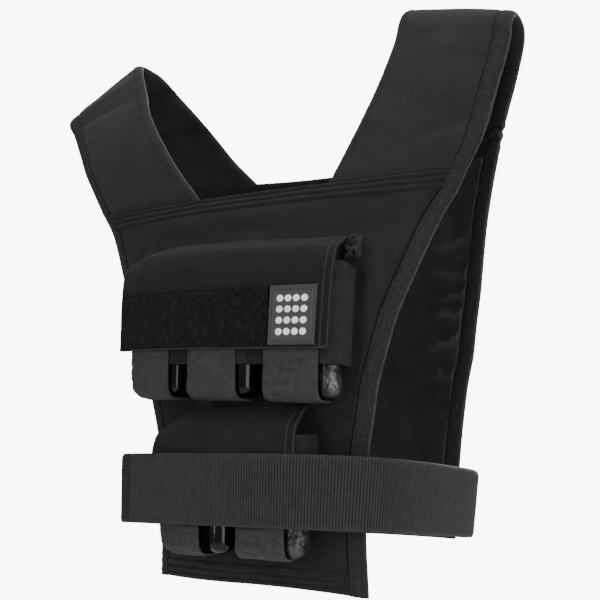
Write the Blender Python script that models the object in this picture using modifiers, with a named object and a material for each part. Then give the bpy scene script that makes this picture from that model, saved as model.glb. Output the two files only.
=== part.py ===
"""Weighted vest: two padded panels, two shoulder straps, steel bars in elastic sleeves, a waist belt.

Metres, +Z up, the front towards -Y and the wearer's left towards +X. Everything is laid out from the
front hem, and an empty then lowers it so that the origin is the shoulder rest, under the straps.
"""
from collections import namedtuple
import math

import bmesh
import bpy
from mathutils import Vector

# Overall form
VEST_RISE = 0.540        # front hem to the top of the right strap
REST_HEIGHT = 0.528      # front hem to where the straps lie on the shoulders
FRONT_RISE = 0.372       # front hem to the ends of the front neckline
BACK_RISE = 0.379        # the same on the back panel
BACK_LIFT = 0.038        # the bars pull the front down, so the back hem hangs this much higher
NECK_DIP = 0.008         # dip of each neckline at its middle
NECK_SLANT = 0.005       # how much lower the front neckline ends on the left
HEM_SLANT = 0.0075       # how much higher the front hem is on the left and in the middle
DIP_POWER = 8            # how fast these fade away from the neckline and the hem
HEM_HALF = 0.121         # half the width of a panel at its hem
SHOULDER_HALF = 0.230    # the right strap's outer edge, out from the middle
FRONT_DEPTH = 0.110      # the front panel's face, forward of the shoulder line
BACK_DEPTH = 0.116       # the back panel's face, behind the shoulder line

# Cloth, padding and tapes
GAP = 0.0004             # clearance between pieces that meet edge to edge
LAYER_GAP = 0.0007       # clearance between curved layers that lie on each other
PANEL_THICKNESS = 0.008
STRAP_THICKNESS = 0.006
STRAP_CROWN = 0.004      # how far a strap swells between its edges
FLAT_FOLD = 0.35         # share of a strap, each way from its fold, in which that dies out
BINDING_WIDTH = 0.016
HEM_HEIGHT = 0.020
COLLAR_HEIGHT = 0.019
SLEEVE_THICKNESS = 0.0012
WEBBING_THICKNESS = 0.0018
FLAP_THICKNESS = 0.0018
TRIM_THICKNESS = 0.0020  # hook band and patch

# Weight bars
BAR_DIAMETER = 0.0250
BAR_LENGTH = 0.104
BAR_ROUNDING = 0.007     # radius at the bars' ends
BAR_SIDES = 12
SEAT_CLEARANCE = 0.0022  # between a straight bar and the curved panel
SLEEVE_CLEARANCE = 0.0005  # between a straight bar and the sleeve that follows the panel
SLEEVE_FLANGE = 0.007    # width sewn down beyond the end bars
SLEEVE_VALLEY = 0.45     # how far a sleeve stays out between two bars, as a share of its radius
SLEEVE_TURNS = (-60, -30, 0, 30, 60)  # degrees round each bar
SEWN_GAP = 0.0012        # between the panel and the flat edge of a sleeve
BEVEL_FROM = 60          # edges sharper than this many degrees are rounded on a bar

# Keeper loops, flaps and trim
LOOP_LENGTH = 0.070      # front run of a keeper loop, from its foot up
LOOP_ROUNDING = 0.010
LOOP_KNEE = 0.55         # where the front run starts to turn, as a share of its length
LOOP_TUCK = 0.4          # the last bend under the feet, as a share of how far the loop stands out
LOOP_ARC_STEPS = 4
FOOT_CLEARANCE = 0.0006  # between a bar's foot and its keeper loop
FLAP_SLOPE = 0.75        # fall of a flap from its seam to its front, for each metre outwards
FLAP_BEND = 0.012        # fall of the bend where the front starts
PATCH_WIDTH = 0.041
PATCH_MARGIN = 0.0105    # how much of the flap shows beside the patch
TRIM_HEIGHT = 0.050      # height of the patch and of the hook band
FLAP_CORNER = 0.010      # how far a flap's left corner is rounded down, and over what width
CORNER_REACH = 0.040
TRIM_MARGIN = 0.0025     # flap edge left bare round its trim

# Waist belt
BELT_HEIGHT = 0.0625
BELT_THICKNESS = 0.0022
BELT_MIDDLE = 0.0905     # middle of the belt's front run above the front hem
BELT_HALF = 0.169        # half its width, side to side
BELT_DROP = 0.083        # fall for each metre from its front run to the back
BELT_TUCK = 0.009        # how far the belt leans in towards its lower edge on the right
BELT_STRIDE = 0.002      # how far ahead and behind its direction is read

# Faces across and along the padded pieces
PANEL_COLUMNS = 14
PADDING_ROWS = 14
STRAP_COLUMNS = 6
SLEEVE_ROWS = 3
FLAP_COLUMNS = 16
BELT_COLUMNS = 57
SHARP_FROM = 40          # edges sharper than this many degrees are shaded sharp

# Upper and lower carrier: how many bars and how far apart, where their middle and feet are, how far
# out of level, and which bars the keeper loops cover; then the sleeve's ends and the flap's seam above the bars' feet,
# and the flap's shift from the middle, its width and its drop from the seam.
Carrier = namedtuple("Carrier", "bars pitch middle foot lean loops loop_width low high seam shift width drop")
UPPER = Carrier(
    bars=6, pitch=0.0393, middle=-0.0027, foot=0.1705, lean=0.040, loops=(0.56, 2.38, 4.30), loop_width=0.050,
    low=0.029, high=0.114, seam=0.143, shift=-0.0048, width=0.218, drop=0.102,
)
LOWER = Carrier(
    bars=4, pitch=0.0359, middle=0.0112, foot=0.0315, lean=0.0, loops=(0.08, 2.30), loop_width=0.0445,
    low=0.030, high=0.101, seam=0.1295, shift=-0.0092, width=0.143, drop=0.092,
)

# A flap's roll over the bars' heads: away is a share of how far its front stands out, and fall a
# share of its whole fall to the front.
Roll = namedtuple("Roll", "away fall")
FLAP_ROLLS = (
    Roll(0.30, 0.12),
    Roll(0.62, 0.32),
    Roll(0.88, 0.51),
)

# Panel sections, hem to neckline. Rise is a share of the panel's rise, left and right of HEM_HALF,
# and the depths of the edges and the middle of the panel's depth.
Section = namedtuple("Section", "rise left right left_depth right_depth middle")
FRONT_SECTIONS = (
    Section(0.000, 0.91, 1.00, 0.72, 0.82, 0.98),
    Section(0.160, 0.89, 1.00, 0.75, 0.86, 1.00),
    Section(0.320, 0.90, 1.03, 0.77, 0.87, 1.00),
    Section(0.400, 0.94, 1.07, 0.78, 0.87, 1.00),
    Section(0.485, 1.01, 1.11, 0.78, 0.86, 1.00),
    Section(0.565, 1.09, 1.17, 0.76, 0.83, 1.00),
    Section(0.645, 1.20, 1.23, 0.71, 0.78, 0.99),
    Section(0.725, 1.32, 1.31, 0.66, 0.70, 0.97),
    Section(0.805, 1.47, 1.38, 0.57, 0.58, 0.93),
    Section(0.885, 1.60, 1.46, 0.49, 0.46, 0.87),
    Section(0.940, 1.69, 1.555, 0.45, 0.41, 0.81),
    Section(1.000, 1.81, 1.64, 0.42, 0.39, 0.73),
)
BACK_SECTIONS = (
    Section(0.000, 1.00, 1.00, 0.74, 0.76, 0.98),
    Section(0.220, 1.00, 1.03, 0.76, 0.83, 1.00),
    Section(0.385, 1.06, 1.10, 0.76, 0.83, 1.00),
    Section(0.465, 1.12, 1.16, 0.74, 0.82, 1.00),
    Section(0.545, 1.21, 1.22, 0.70, 0.76, 0.99),
    Section(0.630, 1.31, 1.30, 0.64, 0.67, 0.97),
    Section(0.710, 1.42, 1.38, 0.56, 0.55, 0.93),
    Section(0.790, 1.53, 1.46, 0.50, 0.44, 0.86),
    Section(0.870, 1.62, 1.55, 0.45, 0.34, 0.79),
    Section(0.955, 1.71, 1.645, 0.40, 0.26, 0.71),
    Section(1.000, 1.76, 1.68, 0.38, 0.25, 0.66),
)

# Where each strap starts on the necklines and where its fold lies: reaches are shares of
# SHOULDER_HALF, rises of VEST_RISE.
Strap = namedtuple("Strap", "sign front_neck back_neck inner_reach inner_rise outer_reach outer_rise")
LEFT_STRAP = Strap(-1, 0.300, 0.430, 0.897, 1.005, 1.347, 0.911)
RIGHT_STRAP = Strap(1, 0.317, 0.385, 0.504, 1.000, 1.000, 0.960)

# Strap sections from a neckline up to the fold. Climb is the share of the way up, the outs are
# shares of the way out, and the depths are shares of the depth at the neckline.
Lift = namedtuple("Lift", "climb inner_out inner_depth outer_out outer_depth")
LEFT_FRONT_LIFTS = (
    Lift(0.20, 0.243, 0.93, 0.178, 0.94),
    Lift(0.40, 0.451, 0.83, 0.365, 0.85),
    Lift(0.60, 0.640, 0.67, 0.528, 0.72),
    Lift(0.80, 0.790, 0.45, 0.700, 0.57),
    Lift(0.93, 0.903, 0.26, 0.868, 0.39),
)
LEFT_BACK_LIFTS = (
    Lift(0.20, 0.239, 0.91, 0.178, 0.94),
    Lift(0.40, 0.422, 0.79, 0.365, 0.85),
    Lift(0.60, 0.600, 0.63, 0.528, 0.72),
    Lift(0.80, 0.780, 0.42, 0.700, 0.57),
    Lift(0.93, 0.894, 0.26, 0.868, 0.39),
)
RIGHT_FRONT_LIFTS = (
    Lift(0.20, 0.305, 0.83, 0.360, 0.84),
    Lift(0.40, 0.605, 0.67, 0.560, 0.70),
    Lift(0.60, 0.849, 0.51, 0.790, 0.58),
    Lift(0.80, 1.000, 0.33, 0.960, 0.44),
    Lift(0.93, 1.030, 0.22, 0.985, 0.34),
)
RIGHT_BACK_LIFTS = (
    Lift(0.20, 0.239, 0.88, 0.236, 0.97),
    Lift(0.40, 0.460, 0.74, 0.476, 0.97),
    Lift(0.60, 0.680, 0.57, 0.700, 0.93),
    Lift(0.80, 0.880, 0.37, 0.926, 0.80),
    Lift(0.93, 0.970, 0.20, 1.020, 0.50),
)

# The belt's plan, once round from the front: out is a share of BELT_HALF, fore of the depth of its
# front run before the shoulder line and of its back run behind it.
Bend = namedtuple("Bend", "out fore")
BELT_BENDS = (
    Bend(0.00, 1.00),
    Bend(0.36, 0.985),
    Bend(0.64, 0.88),
    Bend(0.84, 0.66),
    Bend(0.93, 0.34),
    Bend(0.945, 0.00),
    Bend(0.925, -0.42),
    Bend(0.80, -0.80),
    Bend(0.45, -0.985),
    Bend(0.00, -1.00),
    Bend(-0.45, -0.985),
    Bend(-0.80, -0.80),
    Bend(-0.93, -0.42),
    Bend(-0.95, 0.00),
    Bend(-0.945, 0.30),
    Bend(-0.91, 0.50),
    Bend(-0.84, 0.67),
    Bend(-0.745, 0.80),
    Bend(-0.665, 0.90),
    Bend(-0.59, 0.935),
    Bend(-0.36, 0.975),
)

# Colours and finishes: base colour, roughness, metallic
BLACK_CLOTH = ((0.022, 0.022, 0.024), 0.85, 0.0)
STRAP_CLOTH = ((0.032, 0.032, 0.034), 0.85, 0.0)
BINDING_TAPE = ((0.026, 0.026, 0.028), 0.80, 0.0)
RIBBED_ELASTIC = ((0.040, 0.040, 0.042), 0.75, 0.0)
WEBBING = ((0.040, 0.040, 0.042), 0.70, 0.0)
HOOK_PILE = ((0.012, 0.012, 0.013), 0.95, 0.0)
PATCH_RUBBER = ((0.055, 0.055, 0.058), 0.60, 0.0)
BLACK_STEEL = ((0.020, 0.020, 0.022), 0.30, 0.8)


def clear_scene():
    for thing in list(bpy.data.objects):
        bpy.data.objects.remove(thing, do_unlink=True)


def smooth(knots, values, at):
    """A smooth curve through the values at the knots, for numbers and vectors alike."""
    last = len(knots) - 1
    step = 0
    while step < last - 1 and at > knots[step + 1]:
        step += 1

    def slope(index):
        low = max(index - 1, 0)
        high = min(index + 1, last)
        return (values[high] - values[low]) / (knots[high] - knots[low])

    span = knots[step + 1] - knots[step]
    t = (at - knots[step]) / span
    start = values[step] * (2 * t**3 - 3 * t**2 + 1) + slope(step) * (span * (t**3 - 2 * t**2 + t))
    end = values[step + 1] * (3 * t**2 - 2 * t**3) + slope(step + 1) * (span * (t**3 - t**2))
    return start + end


class Panel:
    """A body panel's outer face: curved across, and shaped by its sections from hem to neckline."""

    def __init__(self, sections, facing, rise, depth, hem):
        self.sections = sections
        self.facing = facing
        self.rise = rise
        self.depth = depth
        self.hem = hem
        self.knots = [row.rise for row in sections]

    def read(self, column, share):
        return smooth(self.knots, [getattr(row, column) for row in self.sections], share)

    def reach(self, side, share):
        return HEM_HALF * self.read("left" if side < 0 else "right", share)

    def face(self, out, share):
        side = -1 if out < 0 else 1
        bow = (out / self.reach(side, share)) ** 2
        middle = self.read("middle", share)
        edge = self.read("left_depth" if side < 0 else "right_depth", share)
        depth = self.depth * (middle - (middle - edge) * bow)
        dip = NECK_DIP * (1 - bow) * share**DIP_POWER
        if self.facing < 0:
            left = 1.0 if side < 0 else 0.0
            dip += NECK_SLANT * left * bow * share**DIP_POWER
            dip -= HEM_SLANT * (1 - bow * (1 - left)) * (1 - share) ** DIP_POWER
        return Vector((out, self.facing * depth, self.hem + self.rise * share - dip))

    def normal(self, out, share):
        step = 0.001
        across = self.face(out + step, share) - self.face(out - step, share)
        up = self.face(out, share + step) - self.face(out, share - step)
        return (across.cross(up) * -self.facing).normalized()

    def point(self, out, share, proud=0.0):
        """A point on the face at this reach and share of the rise, standing this far proud of it."""
        return self.face(out, share) + self.normal(out, share) * proud


FRONT = Panel(FRONT_SECTIONS, -1, FRONT_RISE, FRONT_DEPTH, 0.0)
BACK = Panel(BACK_SECTIONS, 1, BACK_RISE, BACK_DEPTH, BACK_LIFT)


class StrapForm:
    """A strap's outer face, from the front neckline over its fold to the back neckline."""

    SEAM_SHARE = 0.2     # how far the seams' curve reaches into the strap

    def __init__(self, strap, front_lifts, back_lifts):
        self.strap = strap
        stations = [self.seam(FRONT)]
        stations += [self.station(FRONT, row) for row in front_lifts]
        stations += [(self.fold("inner"), self.fold("outer"))]
        stations += [self.station(BACK, row) for row in reversed(back_lifts)]
        stations += [self.seam(BACK)]
        self.inner = [station[0] for station in stations]
        self.outer = [station[1] for station in stations]
        lengths = [0.0]
        for index in range(1, len(stations)):
            stride = (self.inner[index] - self.inner[index - 1]).length
            stride += (self.outer[index] - self.outer[index - 1]).length
            lengths.append(lengths[-1] + stride)
        self.knots = [length / lengths[-1] for length in lengths]
        middles = [(low + high) / 2 for low, high in zip(self.knots, self.knots[1:])]
        self.rows = sorted(self.knots + middles)

    def neck(self, panel):
        share = self.strap.front_neck if panel is FRONT else self.strap.back_neck
        return self.strap.sign * SHOULDER_HALF * share

    def seam(self, panel):
        side = self.strap.sign
        lift = Vector((0, 0, GAP))
        outer = panel.face(side * panel.reach(side, 1.0), 1.0)
        return panel.face(self.neck(panel), 1.0) + lift, outer + lift

    def fold(self, edge):
        out = self.strap.sign * SHOULDER_HALF * getattr(self.strap, edge + "_reach")
        return Vector((out, 0.0, VEST_RISE * getattr(self.strap, edge + "_rise")))

    def station(self, panel, row):
        points = []
        for edge, start in zip(("inner", "outer"), self.seam(panel)):
            end = self.fold(edge)
            out = getattr(row, edge + "_out")
            depth = getattr(row, edge + "_depth")
            points.append(Vector((
                start.x + (end.x - start.x) * out,
                start.y * depth,
                start.z + (end.z - start.z) * row.climb,
            )))
        return tuple(points)

    def ruled(self, across, along):
        inner = smooth(self.knots, self.inner, along)
        outer = smooth(self.knots, self.outer, along)
        return inner.lerp(outer, across)

    def seam_bow(self, panel, across):
        """How far the panel's curved neckline stands off the straight line between the strap's corners."""
        inner, outer = self.seam(panel)
        straight = inner.lerp(outer, across)
        return panel.face(straight.x, 1.0) + Vector((0, 0, GAP)) - straight

    def face(self, across, along):
        front = max(0.0, 1 - along / self.SEAM_SHARE) ** 2
        back = max(0.0, 1 - (1 - along) / self.SEAM_SHARE) ** 2
        bow = self.seam_bow(FRONT, across) * front + self.seam_bow(BACK, across) * back
        level_top = min(1.0, abs(2 * along - 1) / FLAT_FOLD)
        crown = STRAP_CROWN * 4 * across * (1 - across) * (1 - front - back) * level_top
        return self.ruled(across, along) + bow + self.ruled_normal(across, along) * crown

    def ruled_normal(self, across, along):
        step = 0.01
        width = self.ruled(1.0, along) - self.ruled(0.0, along)
        low = max(along - step, 0.0)
        high = min(along + step, 1.0)
        run = self.ruled(across, high) - self.ruled(across, low)
        return (width.cross(run) * self.strap.sign).normalized()

    def normal(self, across, along):
        """Square to the strap, but square to the panel at each seam, so that their ends meet flat."""
        own = self.ruled_normal(across, along)
        for panel, share in ((FRONT, along), (BACK, 1 - along)):
            pull = max(0.0, 1 - share / self.SEAM_SHARE)
            corner = self.ruled(across, 0.0 if panel is FRONT else 1.0)
            own = own.lerp(panel.normal(corner.x, 1.0), pull)
        return own.normalized()

    def point(self, across, along, proud=0.0):
        return self.face(across, along) + self.normal(across, along) * proud

    def binding_share(self, along):
        return BINDING_WIDTH / abs((self.ruled(1.0, along) - self.ruled(0.0, along)).x)


LEFT_FORM = StrapForm(LEFT_STRAP, LEFT_FRONT_LIFTS, LEFT_BACK_LIFTS)
RIGHT_FORM = StrapForm(RIGHT_STRAP, RIGHT_FRONT_LIFTS, RIGHT_BACK_LIFTS)


def start_collection():
    """The vest's collection and the empty that puts its origin at the shoulder rest."""
    collection = bpy.data.collections.new("weighted_vest")
    bpy.context.scene.collection.children.link(collection)
    rest = bpy.data.objects.new("shoulder_rest_frame", None)
    rest.location = (0, 0, -REST_HEIGHT)
    collection.objects.link(rest)
    return collection, rest


def finish_material(name, look):
    colour, roughness, metallic = look
    material = bpy.data.materials.new(name + "_finish")
    material.use_nodes = True
    shader = material.node_tree.nodes["Principled BSDF"]
    shader.inputs["Base Color"].default_value = (*colour, 1)
    shader.inputs["Roughness"].default_value = roughness
    shader.inputs["Metallic"].default_value = metallic
    return material


def add_piece(name, mesh, look):
    piece = bpy.data.objects.new(name, mesh)
    mesh.materials.append(finish_material(name, look))
    mesh.shade_smooth()
    mesh.set_sharp_from_angle(angle=math.radians(SHARP_FROM))
    COLLECTION.objects.link(piece)
    piece.parent = REST
    return piece


def slab(name, look, columns, rows, place, ring=False):
    """A piece of cloth, tape or padding: a flat grid, extruded, and laid out by place().

    place(across, along, outer) takes shares of the width and the length, and 0 on the inner face or
    1 on the outer one. A ring has its two ends joined.
    """
    sheet = bmesh.new()
    bmesh.ops.create_grid(sheet, x_segments=columns, y_segments=rows, size=0.5)
    bmesh.ops.translate(sheet, verts=sheet.verts, vec=(0.5, 0.5, 0))
    raised = bmesh.ops.extrude_face_region(sheet, geom=sheet.faces[:], use_keep_orig=True)
    for item in raised["geom"]:
        if isinstance(item, bmesh.types.BMVert):
            item.co.z = 1.0
    if ring:
        for end in (0.0, 1.0):
            walls = [face for face in sheet.faces if all(abs(v.co.x - end) < 1e-5 for v in face.verts)]
            bmesh.ops.delete(sheet, geom=walls, context="FACES_ONLY")
    for vert in sheet.verts:
        vert.co = place(vert.co.x, vert.co.y, vert.co.z)
    if ring:
        bmesh.ops.remove_doubles(sheet, verts=sheet.verts, dist=1e-6)
    bmesh.ops.recalc_face_normals(sheet, faces=sheet.faces)
    if sheet.calc_volume(signed=True) < 0:
        bmesh.ops.reverse_faces(sheet, faces=sheet.faces)
    mesh = bpy.data.meshes.new(name)
    sheet.to_mesh(mesh)
    sheet.free()
    return add_piece(name, mesh, look)


def panel_rows(panel):
    """Shares of the rise at which a panel's hem, padding and collar band have their rows."""
    hem = HEM_HEIGHT / panel.rise
    collar = 1 - COLLAR_HEIGHT / panel.rise
    seam = GAP / panel.rise
    low = hem + seam
    high = collar - 2 * seam
    padding = [low + (high - low) * row / PADDING_ROWS for row in range(PADDING_ROWS + 1)]
    return [0.0, hem], padding, [collar, (collar + 1) / 2, 1.0]


def add_panel_pieces(panel, name):
    """A panel's padding between its bindings, its folded hem and the tape across its neckline."""
    hem, padding, collar = panel_rows(panel)
    for piece, rows in (("_panel", padding), ("_hem_binding", hem), ("_collar_band", collar)):

        def place(across, along, outer, rows=rows):
            share = rows[round(along * (len(rows) - 1))]
            left = -panel.reach(-1, share) + BINDING_WIDTH + GAP
            right = panel.reach(1, share) - BINDING_WIDTH - GAP
            out = left + (right - left) * across
            return panel.point(out, share, -PANEL_THICKNESS * (1 - outer))

        slab(name + piece, BLACK_CLOTH, PANEL_COLUMNS, len(rows) - 1, place)


def add_strap(form, name):
    def place(across, along, outer):
        row = form.rows[round(along * (len(form.rows) - 1))]
        covered = 1 - form.binding_share(row) * (1 + LAYER_GAP / BINDING_WIDTH)
        return form.point(across * covered, row, -STRAP_THICKNESS * (1 - outer))

    slab(name, STRAP_CLOTH, STRAP_COLUMNS, len(form.rows) - 1, place)


def add_edge_binding(form, name):
    """The tape round one outer edge: up the front panel, over the strap and down the back panel."""
    side = form.strap.sign
    stages = [(FRONT, share) for rows in panel_rows(FRONT) for share in rows]
    stages += [(form, row) for row in form.rows[1:-1]]
    stages += [(BACK, share) for rows in reversed(panel_rows(BACK)) for share in reversed(rows)]

    def place(across, along, outer):
        owner, share = stages[round(along * (len(stages) - 1))]
        proud = -STRAP_THICKNESS * (1 - outer)
        if owner is form:
            return form.point(1 - form.binding_share(share) * (1 - across), share, proud)
        reach = owner.reach(side, share) - BINDING_WIDTH * (1 - across)
        return owner.point(side * reach, share, proud)

    slab(name, BINDING_TAPE, 1, len(stages) - 1, place)


def bar_radius():
    return BAR_DIAMETER / 2


def axis_proud():
    """How far a bar's axis stands off the panel."""
    return bar_radius() + SEAT_CLEARANCE


def sleeve_proud():
    """How far the outside of a sleeve stands off the panel over a bar."""
    return axis_proud() + bar_radius() + SLEEVE_CLEARANCE + SLEEVE_THICKNESS


def bar_out(carrier, index):
    return carrier.middle + carrier.pitch * (index - (carrier.bars - 1) / 2)


def level(carrier, out, height):
    """A height on a carrier as a share of the panel's rise, with the carrier's lean."""
    return (carrier.foot + height - carrier.lean * (out - carrier.middle)) / FRONT_RISE


def add_bars(carrier, name):
    for index in range(carrier.bars):
        out = bar_out(carrier, index)
        foot = FRONT.point(out, level(carrier, out, 0.0), axis_proud())
        head = FRONT.point(out, level(carrier, out, BAR_LENGTH), axis_proud())
        bpy.ops.mesh.primitive_cylinder_add(vertices=BAR_SIDES, radius=bar_radius(), depth=BAR_LENGTH)
        bar = bpy.context.object
        bar.name = "%s_%d" % (name, index + 1)
        bar.data.name = bar.name
        bar.data.materials.append(finish_material(bar.name, BLACK_STEEL))
        bar.data.shade_smooth()
        for owner in list(bar.users_collection):
            owner.objects.unlink(bar)
        COLLECTION.objects.link(bar)
        bar.parent = REST
        bar.location = foot + (head - foot).normalized() * (BAR_LENGTH / 2)
        bar.rotation_mode = "QUATERNION"
        bar.rotation_quaternion = (head - foot).to_track_quat("Z", "Y")
        ends = bar.modifiers.new("rounded_ends", "BEVEL")
        ends.width = BAR_ROUNDING
        ends.segments = 2
        ends.limit_method = "ANGLE"
        ends.angle_limit = math.radians(BEVEL_FROM)


def sleeve_profile(carrier):
    """The sleeve's inner face across the bars: reach, height off the panel and outward direction."""
    radius = bar_radius() + SLEEVE_CLEARANCE
    turns = [math.radians(angle) for angle in SLEEVE_TURNS]
    rows = []
    for index in range(carrier.bars):
        out = bar_out(carrier, index)
        if index:
            rows.append((out - carrier.pitch / 2, axis_proud() + radius * SLEEVE_VALLEY, 0.0, 1.0))
        for turn in turns:
            rows.append((
                out + radius * math.sin(turn),
                axis_proud() + radius * math.cos(turn),
                math.sin(turn),
                math.cos(turn),
            ))
    for side, end in ((-1, 0), (1, carrier.bars - 1)):
        out = bar_out(carrier, end)
        skirt = [
            (out + side * radius, axis_proud(), side, 0.0),
            (out + side * (radius + GAP), SEWN_GAP, side * math.sqrt(0.5), math.sqrt(0.5)),
            (out + side * (radius + SLEEVE_FLANGE), SEWN_GAP, 0.0, 1.0),
        ]
        rows = skirt[::-1] + rows if side < 0 else rows + skirt
    return rows


def add_sleeve(carrier, name):
    """Ribbed elastic over a row of bars, sewn down at both ends."""
    rows = sleeve_profile(carrier)

    def place(across, along, outer):
        out, proud, aside, away = rows[round(across * (len(rows) - 1))]
        share = level(carrier, out, carrier.low + (carrier.high - carrier.low) * along)
        out += aside * SLEEVE_THICKNESS * outer
        return FRONT.point(out, share, proud + away * SLEEVE_THICKNESS * outer)

    slab(name, RIBBED_ELASTIC, len(rows) - 1, SLEEVE_ROWS, place)


def arc(centre, radius, start, end, steps):
    """Points (away, up) on an arc, angles in degrees from straight away from the panel."""
    points = []
    for step in range(steps + 1):
        angle = math.radians(start + (end - start) * step / steps)
        points.append((centre[0] + radius * math.cos(angle), centre[1] + radius * math.sin(angle)))
    return points


def follow(path, step, thickness, outer):
    """The point (away, up) at this step of a path, moved square to the path by the thickness."""
    away, up = path[step]
    before = path[max(step - 1, 0)]
    after = path[min(step + 1, len(path) - 1)]
    run = Vector((after[0] - before[0], after[1] - before[1])).normalized()
    return away - run.y * thickness * outer, up + run.x * thickness * outer


def add_keeper_loops(carrier, name):
    """Webbing that comes down over the sleeve, turns under the bars' feet and is sewn to the panel."""
    front = sleeve_proud() + LAYER_GAP
    under = -FOOT_CLEARANCE
    corner = (front - LOOP_ROUNDING, under + LOOP_ROUNDING)
    path = [(front, LOOP_LENGTH), (front, LOOP_LENGTH * LOOP_KNEE)]
    path += arc(corner, LOOP_ROUNDING, 0, -90, LOOP_ARC_STEPS)
    path += [(front * LOOP_TUCK, under), (GAP, under)]
    for number, index in enumerate(carrier.loops):
        middle = bar_out(carrier, index)

        def place(across, along, outer, middle=middle):
            away, up = follow(path, round(along * (len(path) - 1)), WEBBING_THICKNESS, outer)
            out = middle + carrier.loop_width * (across - 0.5)
            return FRONT.point(out, level(carrier, out, up), away)

        slab("%s_%d" % (name, number + 1), WEBBING, 3, len(path) - 1, place)


def flap_proud():
    """How far the inner face of a flap's front stands off the panel."""
    return sleeve_proud() + LAYER_GAP + WEBBING_THICKNESS + LAYER_GAP


def flap_path(carrier):
    """A flap's inner face from its seam, over the bars' heads, down its front (away, up)."""
    front = flap_proud()
    fall = (front - GAP) * FLAP_SLOPE + FLAP_BEND
    rest = carrier.seam - fall
    foot = carrier.seam - carrier.drop
    path = [(GAP, carrier.seam)]
    path += [(front * row.away, carrier.seam - fall * row.fall) for row in FLAP_ROLLS]
    path += [(front, rest + (foot - rest) * step / 3) for step in range(4)]
    return path


def add_flap(carrier, name):
    path = flap_path(carrier)

    def place(across, along, outer):
        away, up = follow(path, round(along * (len(path) - 1)), FLAP_THICKNESS, outer)
        out = carrier.middle + carrier.shift + carrier.width * (across - 0.5)
        corner = max(0.0, 1 - carrier.width * across / CORNER_REACH)
        up -= FLAP_CORNER * corner**2 * (1 - along)
        return FRONT.point(out, level(carrier, out, up), away)

    slab(name, BLACK_CLOTH, FLAP_COLUMNS, len(path) - 1, place)


def add_flap_trim(carrier):
    """The hook-and-loop band across the upper flap's front and the rubber patch at its end."""
    foot = carrier.seam - carrier.drop + TRIM_MARGIN
    middle = carrier.middle + carrier.shift
    right = middle + carrier.width / 2 - PATCH_MARGIN
    left = middle - carrier.width / 2 + TRIM_MARGIN
    seat = flap_proud() + FLAP_THICKNESS + LAYER_GAP

    def between(start, end):
        def place(across, along, outer):
            out = start + (end - start) * across
            share = level(carrier, out, foot + TRIM_HEIGHT * along)
            return FRONT.point(out, share, seat + TRIM_THICKNESS * outer)
        return place

    slab("hook_band", HOOK_PILE, FLAP_COLUMNS, 1, between(left, right - PATCH_WIDTH - GAP))
    slab("patch", PATCH_RUBBER, 3, 1, between(right - PATCH_WIDTH, right))


def add_belt():
    """The belt: a ring round both panels that hangs lower at the back."""
    front = FRONT_DEPTH + flap_proud() + FLAP_THICKNESS + LAYER_GAP
    back = BACK_DEPTH + LAYER_GAP
    loop = list(BELT_BENDS) + [BELT_BENDS[0]]
    depths = [row.fore * (front if row.fore > 0 else back) for row in loop]
    points = [Vector((BELT_HALF * row.out, -depth)) for row, depth in zip(loop, depths)]
    knots = [0.0]
    for index in range(1, len(points)):
        knots.append(knots[-1] + (points[index] - points[index - 1]).length)

    def place(across, along, outer):
        at = knots[-1] * across
        here = smooth(knots, points, at)
        ahead = smooth(knots, points, min(at + BELT_STRIDE, knots[-1]))
        behind = smooth(knots, points, max(at - BELT_STRIDE, 0.0))
        run = (ahead - behind).normalized()
        if across in (0.0, 1.0):
            run = Vector((1.0, 0.0))
        spot = here + Vector((run.y, -run.x)) * BELT_THICKNESS * outer
        fall = BELT_DROP * (spot.y + front)
        tuck = BELT_TUCK * (1 - along) * max(0.0, spot.x / BELT_HALF) ** 2
        return Vector((spot.x - tuck, spot.y, BELT_MIDDLE - fall + BELT_HEIGHT * (along - 0.5)))

    slab("waist_belt", RIBBED_ELASTIC, BELT_COLUMNS, 1, place, ring=True)


clear_scene()
COLLECTION, REST = start_collection()

add_panel_pieces(FRONT, "front")
add_panel_pieces(BACK, "back")
add_strap(LEFT_FORM, "left_shoulder_strap")
add_strap(RIGHT_FORM, "right_shoulder_strap")
add_edge_binding(LEFT_FORM, "left_edge_binding")
add_edge_binding(RIGHT_FORM, "right_edge_binding")

for carrier, name in ((UPPER, "upper"), (LOWER, "lower")):
    add_bars(carrier, name + "_bar")
    add_sleeve(carrier, name + "_elastic_sleeve")
    add_keeper_loops(carrier, name + "_keeper_loop")
    add_flap(carrier, name + "_flap")
add_flap_trim(UPPER)

add_belt()
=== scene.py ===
"""Looks of the weighted vest: padded cloth, woven tape, ribbed elastic, webbing and coated bars.

Metres, +Z up, the front towards -Y, and the origin at the shoulder rest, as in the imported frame.
"""
from collections import namedtuple
from functools import partial
import math

import bpy
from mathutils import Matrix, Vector, noise


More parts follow.
